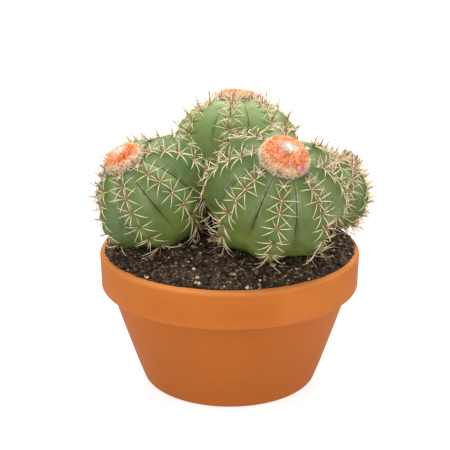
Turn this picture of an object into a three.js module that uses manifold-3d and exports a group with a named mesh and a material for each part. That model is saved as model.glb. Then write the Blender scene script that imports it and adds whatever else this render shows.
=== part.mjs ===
// Potted melocactus: three grown plants with bristly caps and one young plant in a clay bowl.
// Millimetres, +Z up. The origin is the centre of the bowl's underside, on its axis.

import * as THREE from 'three';
import { mergeVertices } from 'three/addons/utils/BufferGeometryUtils.js';
import Module from 'manifold-3d';

const wasm = await Module();
wasm.setup();

// Clearance between two pieces that touch on the real plant, and between two faceted round walls
const GAP = 0.3;
const WALL_GAP = 0.4;
const DEGREE = Math.PI / 180;
const TURN = 2 * Math.PI;

// Clay bowl
const BOWL = {
  height: 95,
  rimRadius: 90,
  rimHeight: 25,
  rimTaper: 0.5,
  neckRadius: 83.4,
  footRadius: 60.3,
  mouthRadius: 82,
  wall: 7,
  floor: 8,
  lipRound: 3,
  mouthDepth: 9,
  rimEdgeRound: 1.5,
  mouthRound: 1,
  footRound: 5,
  drainRadius: 5,
  drainCircle: 24,
  drainCount: 3,
  drainSides: 16,
  sides: 36,
};

// Soil, heaped above the lip and spilling over it everywhere but in front
const SOIL = {
  spill: 4.5,
  frontSpill: 0.5,
  shoulder: 5,
  crown: 7,
  ripple: 0.7,
  rippleX: 0.21,
  rippleY: 0.23,
  fineRipple: 0.35,
  fineX: 0.47,
  fineY: 0.35,
  hollowDepth: 2.5,
  hollowX: -52,
  hollowY: -50,
  hollowWidth: 26,
  rows: [0.975, 0.92, 0.83, 0.7, 0.52, 0.3],
};

// Every plant has eight broad ribs with a narrow crease between them.
const RIBS = 8;
// A crease's depth is a share of the radius. It is whole from the crown to fadeFrom and loses the
// share fade from there to fadeTo, both polar angles in degrees.
const CREASE = { depth: 0.27, fadeFrom: 80, fadeTo: 145, fade: 0.7 };
// A rib's cross-section is a round-shouldered wedge with a narrow notch at each side.
const RIB_SHAPE = { wedge: 0.75, wedgePower: 1.15, notch: 0.25, notchPower: 8 };
// Lines of the mesh along a rib: 0 is its crest and 1 the crease beside it.
const RIB_LINES = [-0.62, 0, 0.62, 1];
// The last ring of a body lies this far below its last spine clusters.
const LAST_ROW = { step: 20, most: 165 };
// How far the crown of the young plant dips between its ribs
const CROWN_DIMPLE = 1.2;

// The centre is the plant's widest point on its own axis. top and bottom are the body's reach along
// that axis. leanX and leanY tip the axis to the right and to the back, and turn places the ribs.
// seatTilt is the slope of the crown under the cap, along the body's own two sideways axes.
// seat is the polar angle of the first ring, where a cap stands, and capShift moves the cap beside
// the axis. areoles are the polar angles of the spine clusters, and stagger slides those of each rib
// towards the root by a share of the step between two. sunk lowers each rib's crest by a share of
// the radius.
const PLANTS = {
  front: {
    centre: [29.8, -30, 142.4],
    radius: 48,
    top: 38.7,
    bottom: 44,
    leanX: 9,
    leanY: -31.9,
    seatTilt: [-0.08, -0.115],
    capShift: [-1.3, -3.2],
    turn: 2.3,
    seat: 26,
    areoles: [34, 45, 57.5, 72, 88, 104, 120, 136],
    stagger: [0.1, 0.3, -0.2, 0.2, 0.3, 0.05, -0.4, 0.1],
    sunk: [0, 0, 0, 0, 0, 0, 0, 0],
    cap: { radius: 16.4, height: 13.4, bristles: 40 },
    skin: '#4c7646',
  },
  left: {
    centre: [-53.4, -4, 135.2],
    radius: 43.4,
    top: 34,
    bottom: 39,
    leanX: -33.7,
    leanY: -17.5,
    seatTilt: [-0.15, -0.12],
    capShift: [1.5, -3],
    turn: 29.5,
    seat: 23,
    areoles: [33, 46, 62, 80, 98, 116, 134],
    stagger: [0.1, 0.3, 0, 0.2, 0.25, 0, 0.5, -0.2],
    sunk: [0, 0, 0, 0.09, 0, 0, 0, 0],
    cap: { radius: 14.1, height: 10.1, bristles: 32 },
    skin: '#4d7a4a',
  },
  back: {
    centre: [4.9, 62, 154.6],
    radius: 44.2,
    top: 30.2,
    bottom: 54,
    leanX: 2.3,
    leanY: 16.9,
    seatTilt: [0, 0],
    capShift: [-1, 0],
    turn: 36.9,
    seat: 22.5,
    areoles: [34, 48, 64, 81, 96, 110, 123],
    stagger: [0.2, -0.3, 0.1, -0.2, 0.3, -0.1, 0.25, -0.25],
    sunk: [0, 0, 0, 0, 0, 0, 0, 0],
    cap: { radius: 15.6, height: 7.9, bristles: 32 },
    skin: '#6f9a55',
  },
  young: {
    centre: [69.4, 36.5, 121.4],
    radius: 31.5,
    top: 28,
    bottom: 23,
    leanX: 34,
    leanY: 12,
    seatTilt: [0, 0],
    capShift: [0, 0],
    turn: 10,
    seat: 7,
    areoles: [15, 31, 48, 66, 85, 105, 126],
    stagger: [0, 0.3, -0.1, 0.2, -0.2, 0.25, 0.05, 0.3],
    sunk: [0, 0, 0, 0, 0, 0, 0, 0],
    cap: null,
    skin: '#5d8650',
  },
};

// A spine is three-sided, bent once, and has its root this deep in the rib.
const SPINE = { radius: 0.52, waist: 0.8, rootDepth: 1.4, rootSpread: 0.95, radial: 12.5, central: 12 };
const STEEPEST_SPINE = 85;

// Spines of an areole, which alternate along a rib: bearing from the side towards the crown, rise
// off the skin at the root and at the tip, and length
const CENTRAL_SPINE = { bearing: 0, rise: 60, tipRise: 60, length: SPINE.central };
const DOWN_SPINE = { bearing: 180, rise: 36, tipRise: 6, length: SPINE.radial };
const SIDE_SPINES = [
  { bearing: 82, rise: 38, tipRise: 4, length: SPINE.radial },
  { bearing: -82, rise: 38, tipRise: 4, length: SPINE.radial },
];
const SPINE_STARS = [SIDE_SPINES, [CENTRAL_SPINE, DOWN_SPINE]];
// A spine that would cross something is tried again with these turns and rises.
const SPINE_BENDS = [[0, 0], [22, 8], [-22, 8], [0, 26], [40, 20], [-40, 20]];
const SPINE_CLEARANCE = 0.35;
// Where each half of a spine is tested against the other pieces
const SPINE_PROBES = [0.15, 0.4, 0.7, 1];

// The taproot that each plant stands on in the soil
const TAPROOT = { radius: 8, tip: 3.5, tipHeight: 68, sides: 8, overlap: 8 };

// Stiff bristles of a cap, which stand off its skin with a lean towards its axis. The last one
// lies at the share lastRow of the way down its side.
const BRISTLE = { radius: 0.55, length: 2.4, rootDepth: 1.3, lean: 0.35, unevenTurn: 0.2, lastRow: 0.97 };
const GOLDEN_TURN = TURN * 0.381966;
const BRISTLE_TO_BUD = 1.6;
const CAP_SIDES = 16;
// Where the bristles stand on a cap, as shares of its radius and height
const DOME = { spread: 0.97, spreadPower: 0.8, foot: 0.12, rise: 0.84, risePower: 0.7 };
// A cap is taken to fill its seat down to here when spines are kept clear of it.
const CAP_SKIRT = 1;
// Height of the middle of a cap's top, as a share of the whole
const CAP_DIMPLE = 0.98;

// Pink flower and fruit, standing in the wool of a cap
const BUDS = {
  flower_front: { plant: 'front', bearing: -54, radius: 2, length: 6, stand: 7.8, colour: '#d96a92' },
  fruit_back: { plant: 'back', bearing: -12, radius: 1.5, length: 4.8, stand: 2.2, colour: '#e0788f' },
};
const BUD_TILT = 52;
const BUD_SOCKET_DEPTH = 2.4;
const BUD_SIDES = 8;

// Geometry helpers

// Closed mesh with shared vertices, turned the right way out
function closedGeometry(positions, triangles) {
  const geometry = new THREE.BufferGeometry();
  geometry.setAttribute('position', new THREE.Float32BufferAttribute(positions, 3));
  geometry.setIndex(signedVolume(positions, triangles) < 0 ? flipped(triangles) : triangles);
  return geometry;
}

function signedVolume(positions, triangles) {
  const corner = (index) => new THREE.Vector3().fromArray(positions, 3 * index);
  let total = 0;
  for (let i = 0; i < triangles.length; i += 3) {
    const [a, b, c] = [corner(triangles[i]), corner(triangles[i + 1]), corner(triangles[i + 2])];
    total += a.dot(b.cross(c)) / 6;
  }
  return total;
}

function flipped(triangles) {
  const turned = [];
  for (let i = 0; i < triangles.length; i += 3) {
    turned.push(triangles[i], triangles[i + 2], triangles[i + 1]);
  }
  return turned;
}

// Closed solid through rings of points, with a single point at each end
function ringSolid(firstPoint, rings, lastPoint) {
  const columns = rings[0].length;
  const positions = [...firstPoint.toArray()];
  const triangles = [];
  const vertex = (row, column) => 1 + row * columns + (column % columns);
  rings.forEach((ring) => ring.forEach((point) => positions.push(...point.toArray())));
  positions.push(...lastPoint.toArray());
  const last = 1 + rings.length * columns;
  for (let column = 0; column < columns; column += 1) {
    triangles.push(0, vertex(0, column), vertex(0, column + 1));
    triangles.push(last, vertex(rings.length - 1, column + 1), vertex(rings.length - 1, column));
    for (let row = 0; row + 1 < rings.length; row += 1) {
      triangles.push(vertex(row, column), vertex(row + 1, column), vertex(row + 1, column + 1));
      triangles.push(vertex(row, column), vertex(row + 1, column + 1), vertex(row, column + 1));
    }
  }
  return closedGeometry(positions, triangles);
}

function solidOf(geometry) {
  const bare = geometry.clone();
  bare.deleteAttribute('normal');
  bare.deleteAttribute('uv');
  const merged = mergeVertices(bare, 1e-5);
  const vertProperties = Float32Array.from(merged.attributes.position.array);
  const triVerts = Uint32Array.from(merged.index.array);
  return new wasm.Manifold(new wasm.Mesh({ numProp: 3, vertProperties, triVerts }));
}

function geometryOf(solid) {
  const mesh = solid.getMesh();
  return closedGeometry(Array.from(mesh.vertProperties), Array.from(mesh.triVerts));
}

function joined(solids) {
  return solids.reduce((whole, piece) => whole.add(piece));
}

function arcPoints(centreR, centreZ, radius, from, to, steps) {
  const points = [];
  for (let i = 0; i <= steps; i += 1) {
    const angle = (from + ((to - from) * i) / steps) * DEGREE;
    points.push(new THREE.Vector2(centreR + radius * Math.cos(angle), centreZ + radius * Math.sin(angle)));
  }
  return points;
}

function seededRandom(seed) {
  let state = seed;
  return () => {
    state = (state * 16807) % 2147483647;
    return state / 2147483647;
  };
}

function finish(colour, roughness) {
  return new THREE.MeshStandardMaterial({ color: colour, roughness, metalness: 0 });
}

function namedMesh(name, geometry, material) {
  const shaded = geometry.clone();
  shaded.computeVertexNormals();
  const mesh = new THREE.Mesh(shaded, material);
  mesh.name = name;
  return mesh;
}

// Clay bowl

function bowlGeometry() {
  const { height, rimRadius, rimHeight, rimTaper, neckRadius, footRadius, mouthRadius } = BOWL;
  const { wall, floor, lipRound, mouthDepth, rimEdgeRound, mouthRound, footRound, sides } = BOWL;
  const rimFoot = height - rimHeight;
  const rimFootRadius = rimRadius - rimTaper;
  const innerFloorRadius = footRadius + ((neckRadius - footRadius) * floor) / rimFoot - wall;
  const outline = [
    new THREE.Vector2(0, floor),
    new THREE.Vector2(innerFloorRadius, floor),
    new THREE.Vector2(neckRadius - wall, rimFoot),
    new THREE.Vector2(mouthRadius, height - mouthDepth),
    ...arcPoints(mouthRadius + mouthRound, height - mouthRound, mouthRound, 180, 90, 2),
    ...arcPoints(rimRadius - lipRound, height - lipRound, lipRound, 90, 0, 3),
    ...arcPoints(rimFootRadius - rimEdgeRound, rimFoot + rimEdgeRound, rimEdgeRound, 0, -90, 2),
    new THREE.Vector2(neckRadius, rimFoot),
    ...arcPoints(footRadius - footRound, footRound, footRound, -15, -90, 3),
    new THREE.Vector2(0, 0),
  ];
  const bowl = new THREE.LatheGeometry(outline, sides);
  bowl.rotateX(Math.PI / 2);
  return outwardCopy(bowl);
}

// The same surface with its faces pointing out
function outwardCopy(geometry) {
  const bare = geometry.clone();
  bare.deleteAttribute('normal');
  bare.deleteAttribute('uv');
  const merged = mergeVertices(bare, 1e-4);
  const triangles = [];
  const index = merged.index.array;
  for (let i = 0; i < index.length; i += 3) {
    const [a, b, c] = [index[i], index[i + 1], index[i + 2]];
    if (a !== b && b !== c && c !== a) {
      triangles.push(a, b, c);
    }
  }
  return closedGeometry(Array.from(merged.attributes.position.array), triangles);
}

function bowlWithDrains() {
  let bowl = solidOf(bowlGeometry());
  for (let i = 0; i < BOWL.drainCount; i += 1) {
    const angle = 90 * DEGREE + (i * TURN) / BOWL.drainCount;
    const { drainRadius, floor, drainSides } = BOWL;
    const drill = new THREE.CylinderGeometry(drainRadius, drainRadius, 3 * floor, drainSides);
    drill.rotateX(Math.PI / 2);
    drill.translate(BOWL.drainCircle * Math.cos(angle), BOWL.drainCircle * Math.sin(angle), 0);
    bowl = bowl.subtract(solidOf(drill));
  }
  return geometryOf(bowl);
}

// Plant bodies

function plantAxes(plant) {
  const x = Math.sin(plant.leanX * DEGREE);
  const y = Math.sin(plant.leanY * DEGREE);
  const axis = new THREE.Vector3(x, y, Math.sqrt(1 - x * x - y * y));
  const side = new THREE.Vector3(0, 1, 0).cross(axis).normalize();
  const rear = axis.clone().cross(side);
  return new THREE.Matrix4().makeBasis(side, rear, axis).setPosition(...plant.centre);
}

// The rib in a direction, and how far across it that lies: 0 on its crest, 1 in the crease
function ribAt(plant, azimuth) {
  const ribs = ((azimuth - plant.turn * DEGREE) * RIBS) / TURN;
  const nearest = Math.round(ribs);
  return { rib: ((nearest % RIBS) + RIBS) % RIBS, across: 2 * Math.abs(ribs - nearest) };
}

// The creases are deep from the crown to the middle, and fade towards the root.
function creaseDepth(polar) {
  const { depth, fadeFrom, fadeTo, fade } = CREASE;
  const fading = Math.max(0, Math.min(1, (polar / DEGREE - fadeFrom) / (fadeTo - fadeFrom)));
  return depth * (1 - fade * fading);
}

function ribFactor(plant, polar, azimuth) {
  const { wedge, wedgePower, notch, notchPower } = RIB_SHAPE;
  const { rib, across } = ribAt(plant, azimuth);
  const valley = creaseDepth(polar) * (wedge * across ** wedgePower + notch * across ** notchPower);
  return 1 - valley - plant.sunk[rib] * (1 - across * across) ** 2;
}

function skinPoint(plant, polar, azimuth) {
  const radius = plant.radius * Math.sin(polar) * ribFactor(plant, polar, azimuth);
  const reach = polar < Math.PI / 2 ? plant.top : plant.bottom;
  return new THREE.Vector3(radius * Math.cos(azimuth), radius * Math.sin(azimuth), reach * Math.cos(polar));
}

// Signed distance, roughly, from a point in the plant's own frame to its skin
function skinDistance(plant, point) {
  const reach = point.z > 0 ? plant.top : plant.bottom;
  const spread = Math.hypot(point.x, point.y);
  const polar = Math.atan2(spread / plant.radius, point.z / reach);
  const radius = plant.radius * ribFactor(plant, polar, Math.atan2(point.y, point.x));
  const level = Math.hypot(spread / radius, point.z / reach);
  return ((level - 1) * point.length()) / Math.max(level, 0.01);
}

// Rise of the sloping crown at a point beside the axis
function seatSlope(plant, point) {
  return plant.seatTilt[0] * point.x + plant.seatTilt[1] * point.y;
}

function polarRows(plant) {
  const last = Math.min(LAST_ROW.most, plant.areoles.at(-1) + LAST_ROW.step);
  return [plant.seat, ...plant.areoles, last].map((row) => row * DEGREE);
}

function bodyGeometry(plant) {
  const rings = polarRows(plant).map((polar) => {
    const ring = [];
    for (let rib = 0; rib < RIBS; rib += 1) {
      RIB_LINES.forEach((line) => {
        ring.push(skinPoint(plant, polar, plant.turn * DEGREE + ((rib + line / 2) * TURN) / RIBS));
      });
    }
    return ring;
  });
  const crown = new THREE.Vector3(0, 0, plant.cap ? rings[0][0].z : plant.top - CROWN_DIMPLE);
  rings[0].forEach((point) => point.setZ(point.z + seatSlope(plant, point)));
  return ringSolid(crown, rings, new THREE.Vector3(0, 0, -plant.bottom));
}

// A straight root from the foot of the plant's axis down into the soil, in the bowl's frame
function taprootGeometry(plant, extra) {
  const foot = new THREE.Vector3(0, 0, -plant.bottom).applyMatrix4(plantAxes(plant));
  const low = TAPROOT.tipHeight - extra;
  const high = foot.z + TAPROOT.overlap;
  const { radius, tip, sides } = TAPROOT;
  const root = new THREE.CylinderGeometry(radius + extra, tip + extra, high - low, sides);
  root.rotateX(Math.PI / 2);
  root.translate(foot.x, foot.y, (low + high) / 2);
  return root;
}

// Spines

// A three-sided spine from its root to its pointed tip, bent at a waist where it has one
function spineGeometry(root, waist, tip, radius) {
  const along = tip.clone().sub(root).normalize();
  const helper = Math.abs(along.z) < 0.9 ? new THREE.Vector3(0, 0, 1) : new THREE.Vector3(1, 0, 0);
  const sideways = helper.cross(along).normalize();
  const upwards = along.clone().cross(sideways);
  const ringAt = (centre, size) => [0, 1, 2].map((corner) => {
    const angle = (corner * TURN) / 3;
    return centre.clone()
      .addScaledVector(sideways, size * Math.cos(angle))
      .addScaledVector(upwards, size * Math.sin(angle));
  });
  const rings = waist ? [ringAt(root, radius), ringAt(waist, radius * SPINE.waist)] : [ringAt(root, radius)];
  return ringSolid(root, rings, tip);
}

// Polar angle, in degrees, of one rib's spine cluster
function areolePolar(plant, order, rib) {
  const rows = plant.areoles;
  const at = order + plant.stagger[rib];
  const low = Math.max(0, Math.min(rows.length - 2, Math.floor(at)));
  return rows[low] + (at - low) * (rows[low + 1] - rows[low]);
}

// Crest point, outward normal, and the directions to the crown and to the side
function areoleFrame(plant, polar, rib) {
  const azimuth = plant.turn * DEGREE + (rib * TURN) / RIBS;
  const place = skinPoint(plant, polar, azimuth);
  const below = skinPoint(plant, polar + DEGREE, azimuth);
  const crownward = skinPoint(plant, polar - DEGREE, azimuth).sub(below).normalize();
  const side = new THREE.Vector3(-Math.sin(azimuth), Math.cos(azimuth), 0);
  return { place, normal: side.clone().cross(crownward), crownward, side };
}

function spinePath(frame, star, bearingBend, riseBend) {
  const bearing = (star.bearing + bearingBend) * DEGREE;
  const heading = frame.crownward.clone().multiplyScalar(Math.cos(bearing))
    .addScaledVector(frame.side, Math.sin(bearing));
  const leaning = (rise) => heading.clone().multiplyScalar(Math.cos(rise * DEGREE))
    .addScaledVector(frame.normal, Math.sin(rise * DEGREE));
  const foot = frame.place.clone().addScaledVector(heading, SPINE.rootSpread);
  const first = leaning(Math.min(STEEPEST_SPINE, star.rise + riseBend));
  const second = leaning(Math.min(STEEPEST_SPINE, star.tipRise + riseBend));
  const waist = foot.clone().addScaledVector(first, star.length / 2);
  return {
    root: foot.clone().addScaledVector(frame.normal, -SPINE.rootDepth),
    foot,
    waist,
    tip: waist.clone().addScaledVector(second, star.length / 2),
  };
}

function segmentDistance(a, b, c, d) {
  const first = b.clone().sub(a);
  const second = d.clone().sub(c);
  const offset = a.clone().sub(c);
  const [aa, bb, ab] = [first.dot(first), second.dot(second), first.dot(second)];
  const [ao, bo] = [first.dot(offset), second.dot(offset)];
  const spread = aa * bb - ab * ab;
  const clamp = (value) => Math.max(0, Math.min(1, value));
  let s = spread > 1e-9 ? clamp((ab * bo - bb * ao) / spread) : 0;
  const t = clamp((ab * s + bo) / bb);
  s = clamp((ab * t - ao) / aa);
  return a.clone().addScaledVector(first, s).distanceTo(c.clone().addScaledVector(second, t));
}

// True where a spine of one plant stays clear of every other piece
function spineIsClear(path, owner, placed) {
  const toBowl = plantAxes(owner);
  const stretches = [[path.foot, path.waist], [path.waist, path.tip]];
  const reach = SPINE.radius + SPINE_CLEARANCE;
  for (const [from, to] of stretches) {
    for (const share of SPINE_PROBES) {
      const inPlant = from.clone().lerp(to, share);
      const inBowl = inPlant.clone().applyMatrix4(toBowl);
      if (groundDistance(inBowl) < reach) {
        return false;
      }
      for (const plant of Object.values(PLANTS)) {
        const local = inBowl.clone().applyMatrix4(plantAxes(plant).invert());
        const nearSkin = plant === owner ? Infinity : skinDistance(plant, local);
        if (nearSkin < reach || capDistance(plant, local) < reach) {
          return false;
        }
      }
    }
    const [start, end] = [from.clone().applyMatrix4(toBowl), to.clone().applyMatrix4(toBowl)];
    const crossing = placed.some((other) => other.owner !== owner
      && segmentDistance(start, end, other.start, other.end) < 2 * SPINE.radius + SPINE_CLEARANCE);
    if (crossing) {
      return false;
    }
  }
  return true;
}

function spinesOf(plant, placed) {
  const toBowl = plantAxes(plant);
  const solids = [];
  for (let order = 0; order < plant.areoles.length; order += 1) {
    for (let rib = 0; rib < RIBS; rib += 1) {
      const frame = areoleFrame(plant, areolePolar(plant, order, rib) * DEGREE, rib);
      const stars = SPINE_STARS[(order + rib) % SPINE_STARS.length];
      for (const star of stars) {
        const paths = SPINE_BENDS.map(([turn, rise]) => spinePath(frame, star, turn, rise));
        const path = paths.find((candidate) => spineIsClear(candidate, plant, placed));
        if (path) {
          const { root, foot, waist, tip } = path;
          const bend = star.rise === star.tipRise ? null : waist;
          solids.push(solidOf(spineGeometry(root, bend, tip, SPINE.radius)));
          const [low, middle, high] = [foot, waist, tip].map((point) => point.clone().applyMatrix4(toBowl));
          placed.push({ owner: plant, start: low, end: middle });
          placed.push({ owner: plant, start: middle, end: high });
        }
      }
    }
  }
  return solids;
}

function plantGeometry(plant, placed) {
  const fromBowl = plantAxes(plant).invert();
  const root = solidOf(taprootGeometry(plant, 0).applyMatrix4(fromBowl));
  return geometryOf(joined([solidOf(bodyGeometry(plant)), root, ...spinesOf(plant, placed)]));
}

// Caps of wool and bristles

// A cap's own frame: the origin is the middle of its underside and +Z stands on the sloping crown.
function capAxes(plant) {
  const up = new THREE.Vector3(-plant.seatTilt[0], -plant.seatTilt[1], 1).normalize();
  const turn = new THREE.Quaternion().setFromUnitVectors(new THREE.Vector3(0, 0, 1), up);
  const foot = new THREE.Vector3(...plant.capShift, plant.top * Math.cos(plant.seat * DEGREE));
  foot.setZ(foot.z + seatSlope(plant, foot)).addScaledVector(up, GAP);
  return new THREE.Matrix4().compose(foot, turn, new THREE.Vector3(1, 1, 1));
}

// Height of a cap above its seat, at a share of its radius
function capOutline(cap) {
  const { radius, height } = cap;
  return [
    [0.86 * radius, 0],
    [0.97 * radius, 0.14 * height],
    [radius, 0.34 * height],
    [0.95 * radius, 0.56 * height],
    [0.82 * radius, 0.77 * height],
    [0.56 * radius, 0.94 * height],
    [0.26 * radius, height],
  ];
}

// Signed distance, roughly, from a point in the plant's own frame to the cap with its bristles
function capDistance(plant, point) {
  if (!plant.cap) {
    return Infinity;
  }
  const { radius, height } = plant.cap;
  const outer = radius + BRISTLE.length;
  const local = point.clone().applyMatrix4(capAxes(plant).invert());
  const spread = Math.hypot(local.x, local.y);
  if (local.z < -CAP_SKIRT) {
    return Math.hypot(Math.max(0, spread - radius), local.z + CAP_SKIRT);
  }
  const level = Math.hypot(spread / outer, Math.max(0, local.z) / (height + BRISTLE.length));
  return (level - 1) * Math.min(outer, height + BRISTLE.length);
}

function capGeometry(plant, buds) {
  const rings = capOutline(plant.cap).map(([radius, height]) => {
    const ring = [];
    for (let side = 0; side < CAP_SIDES; side += 1) {
      const angle = (side * TURN) / CAP_SIDES;
      ring.push(new THREE.Vector3(radius * Math.cos(angle), radius * Math.sin(angle), height));
    }
    return ring;
  });
  const dimple = new THREE.Vector3(0, 0, CAP_DIMPLE * plant.cap.height);
  let cap = solidOf(ringSolid(new THREE.Vector3(0, 0, 0), rings, dimple));
  cap = joined([cap, ...bristlesOf(plant, buds)]);
  buds.forEach((bud) => {
    cap = cap.subtract(solidOf(budGeometry(bud, WALL_GAP)));
  });
  return geometryOf(cap);
}

// Bristles stand out of the dome along an even spiral, clear of a flower.
function bristlesOf(plant, buds) {
  const { radius, height, bristles } = plant.cap;
  const random = seededRandom(41);
  const solids = [];
  for (let i = 0; i < bristles; i += 1) {
    const share = (i + 0.5) / bristles;
    const polar = Math.acos(1 - BRISTLE.lastRow * share);
    const azimuth = i * GOLDEN_TURN + BRISTLE.unevenTurn * (random() - 0.5);
    const out = new THREE.Vector3(
      Math.sin(polar) * Math.cos(azimuth),
      Math.sin(polar) * Math.sin(azimuth),
      Math.cos(polar),
    );
    const place = domePoint(radius, height, polar, azimuth);
    const lean = out.clone().addScaledVector(new THREE.Vector3(0, 0, 1), BRISTLE.lean).normalize();
    const root = place.clone().addScaledVector(out, -BRISTLE.rootDepth);
    const tip = place.clone().addScaledVector(lean, BRISTLE.length);
    const blocked = buds.some((bud) => (
      segmentDistance(root, tip, ...budSpan(bud)) < bud.radius + BRISTLE_TO_BUD
    ));
    if (!blocked) {
      solids.push(solidOf(spineGeometry(root, null, tip, BRISTLE.radius)));
    }
  }
  return solids;
}

// Point on the dome's skin, above its seat, in the direction of a polar angle
function domePoint(radius, height, polar, azimuth) {
  const spread = radius * DOME.spread * Math.sin(polar) ** DOME.spreadPower;
  const rise = height * (DOME.foot + DOME.rise * Math.cos(polar) ** DOME.risePower);
  return new THREE.Vector3(spread * Math.cos(azimuth), spread * Math.sin(azimuth), rise);
}

// Axis of a flower or fruit, from its foot in the cap to its tip, in the cap's frame
function budSpan(bud) {
  const plant = PLANTS[bud.plant];
  const angle = bud.bearing * DEGREE;
  const tilt = BUD_TILT * DEGREE;
  const heading = new THREE.Vector3(
    Math.sin(tilt) * Math.cos(angle),
    Math.sin(tilt) * Math.sin(angle),
    Math.cos(tilt),
  );
  const foot = new THREE.Vector3(Math.cos(angle), Math.sin(angle), 0)
    .multiplyScalar(plant.cap.radius - BUD_SOCKET_DEPTH)
    .setZ(bud.stand);
  return [foot, foot.clone().addScaledVector(heading, bud.length)];
}

function budGeometry(bud, extra) {
  const [foot, tip] = budSpan(bud);
  const { radius, length } = bud;
  const outline = [
    [0.55 * radius, 0],
    [0.8 * radius, 0.3 * length],
    [radius, 0.7 * length],
    [0.7 * radius, 0.95 * length],
  ];
  const heading = tip.clone().sub(foot).normalize();
  const turn = new THREE.Quaternion().setFromUnitVectors(new THREE.Vector3(0, 0, 1), heading);
  const place = (x, y, z) => new THREE.Vector3(x, y, z).applyQuaternion(turn).add(foot);
  const rings = outline.map(([ringRadius, height], order) => {
    const ring = [];
    const size = ringRadius + extra;
    for (let corner = 0; corner < BUD_SIDES; corner += 1) {
      const angle = (corner * TURN) / BUD_SIDES;
      ring.push(place(size * Math.cos(angle), size * Math.sin(angle), order === 0 ? -extra : height));
    }
    return ring;
  });
  return ringSolid(place(0, 0, -extra), rings, place(0, 0, length + extra));
}

// Soil

// Radius that the soil reaches at a bearing round the bowl, just above the lip
function soilEdge(bearing) {
  const front = Math.max(0, -Math.sin(bearing));
  return BOWL.mouthRadius + SOIL.frontSpill + (SOIL.spill - SOIL.frontSpill) * (1 - front * front);
}

function soilHeight(x, y) {
  const share = Math.min(1, Math.hypot(x, y) / soilEdge(Math.atan2(y, x)));
  const heap = SOIL.shoulder * (1 - share ** 8) + SOIL.crown * (1 - share ** 2);
  const ripple = SOIL.ripple * Math.sin(SOIL.rippleX * x) * Math.sin(SOIL.rippleY * y);
  const fineRipple = SOIL.fineRipple * Math.sin(SOIL.fineX * x - SOIL.fineY * y);
  const apart = Math.hypot(x - SOIL.hollowX, y - SOIL.hollowY) / SOIL.hollowWidth;
  const hollow = SOIL.hollowDepth * Math.exp(-apart * apart);
  const inside = 1 - share ** 6;
  return BOWL.height + GAP + heap + (ripple + fineRipple - hollow) * inside;
}

// Signed distance, roughly, from a point to the soil or the bowl below it
function groundDistance(point) {
  const spread = Math.hypot(point.x, point.y);
  if (spread > BOWL.rimRadius + 2) {
    return Infinity;
  }
  return point.z - Math.max(soilHeight(point.x, point.y), BOWL.height + GAP);
}

function soilGeometry() {
  const { height, neckRadius, footRadius, wall, floor } = BOWL;
  const wallRadius = BOWL.mouthRadius - WALL_GAP;
  const rimFoot = height - BOWL.rimHeight;
  const floorHeight = floor + GAP;
  const innerNeck = neckRadius - wall - WALL_GAP;
  const innerFoot = footRadius + ((neckRadius - footRadius) * floor) / rimFoot - wall - WALL_GAP;
  const around = (radiusAt, heightAt) => {
    const ring = [];
    for (let side = 0; side < BOWL.sides; side += 1) {
      const bearing = (side * TURN) / BOWL.sides;
      const radius = radiusAt(bearing);
      const [x, y] = [radius * Math.cos(bearing), radius * Math.sin(bearing)];
      ring.push(new THREE.Vector3(x, y, heightAt(x, y)));
    }
    return ring;
  };
  const lip = height + GAP;
  const rings = [
    around(() => innerFoot, () => floorHeight),
    around(() => innerNeck, () => rimFoot),
    around(() => wallRadius, () => height - BOWL.mouthDepth),
    around(() => wallRadius, () => lip),
    around(soilEdge, () => lip),
    ...SOIL.rows.map((share) => around((bearing) => share * soilEdge(bearing), soilHeight)),
  ];
  const top = new THREE.Vector3(0, 0, soilHeight(0, 0));
  return ringSolid(new THREE.Vector3(0, 0, floorHeight), rings, top);
}

// The soil has a plain hollow under each plant and a hole for its taproot.
function soilWithHollows() {
  let soil = solidOf(soilGeometry());
  for (const plant of Object.values(PLANTS)) {
    const growth = 1 + (2 * GAP) / plant.radius;
    const hollow = bodyGeometry(plant).scale(growth, growth, growth).applyMatrix4(plantAxes(plant));
    soil = soil.subtract(solidOf(hollow));
    soil = soil.subtract(solidOf(taprootGeometry(plant, WALL_GAP)));
  }
  return geometryOf(soil);
}

// Assembly

const melocactus = new THREE.Group();
melocactus.add(namedMesh('bowl', bowlWithDrains(), finish('#cf7a39', 0.85)));
melocactus.add(namedMesh('soil', soilWithHollows(), finish('#3f2f20', 0.95)));

const placedSpines = [];
for (const [name, plant] of Object.entries(PLANTS)) {
  const standing = new THREE.Group();
  standing.applyMatrix4(plantAxes(plant));
  standing.add(namedMesh(`cactus_${name}`, plantGeometry(plant, placedSpines), finish(plant.skin, 0.6)));
  if (plant.cap) {
    const crown = new THREE.Group();
    crown.applyMatrix4(capAxes(plant));
    const buds = Object.entries(BUDS).filter(([, bud]) => bud.plant === name);
    const cap = capGeometry(plant, buds.map(([, bud]) => bud));
    crown.add(namedMesh(`cap_${name}`, cap, finish('#e88a52', 0.9)));
    buds.forEach(([budName, bud]) => {
      crown.add(namedMesh(budName, budGeometry(bud, 0), finish(bud.colour, 0.5)));
    });
    standing.add(crown);
  }
  melocactus.add(standing);
}

export default melocactus;
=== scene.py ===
"""Potted melocactus: three grown plants with bristly caps and a young one, in a clay bowl of soil.

Lengths are metres and angles degrees unless a name or docstring says otherwise. +Z is up, -Y is
the front, and the origin is the middle of the bowl's underside.
"""

import logging
import math
from dataclasses import dataclass, replace
from enum import Enum

import bpy
import numpy as np
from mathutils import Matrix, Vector, noise


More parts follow.
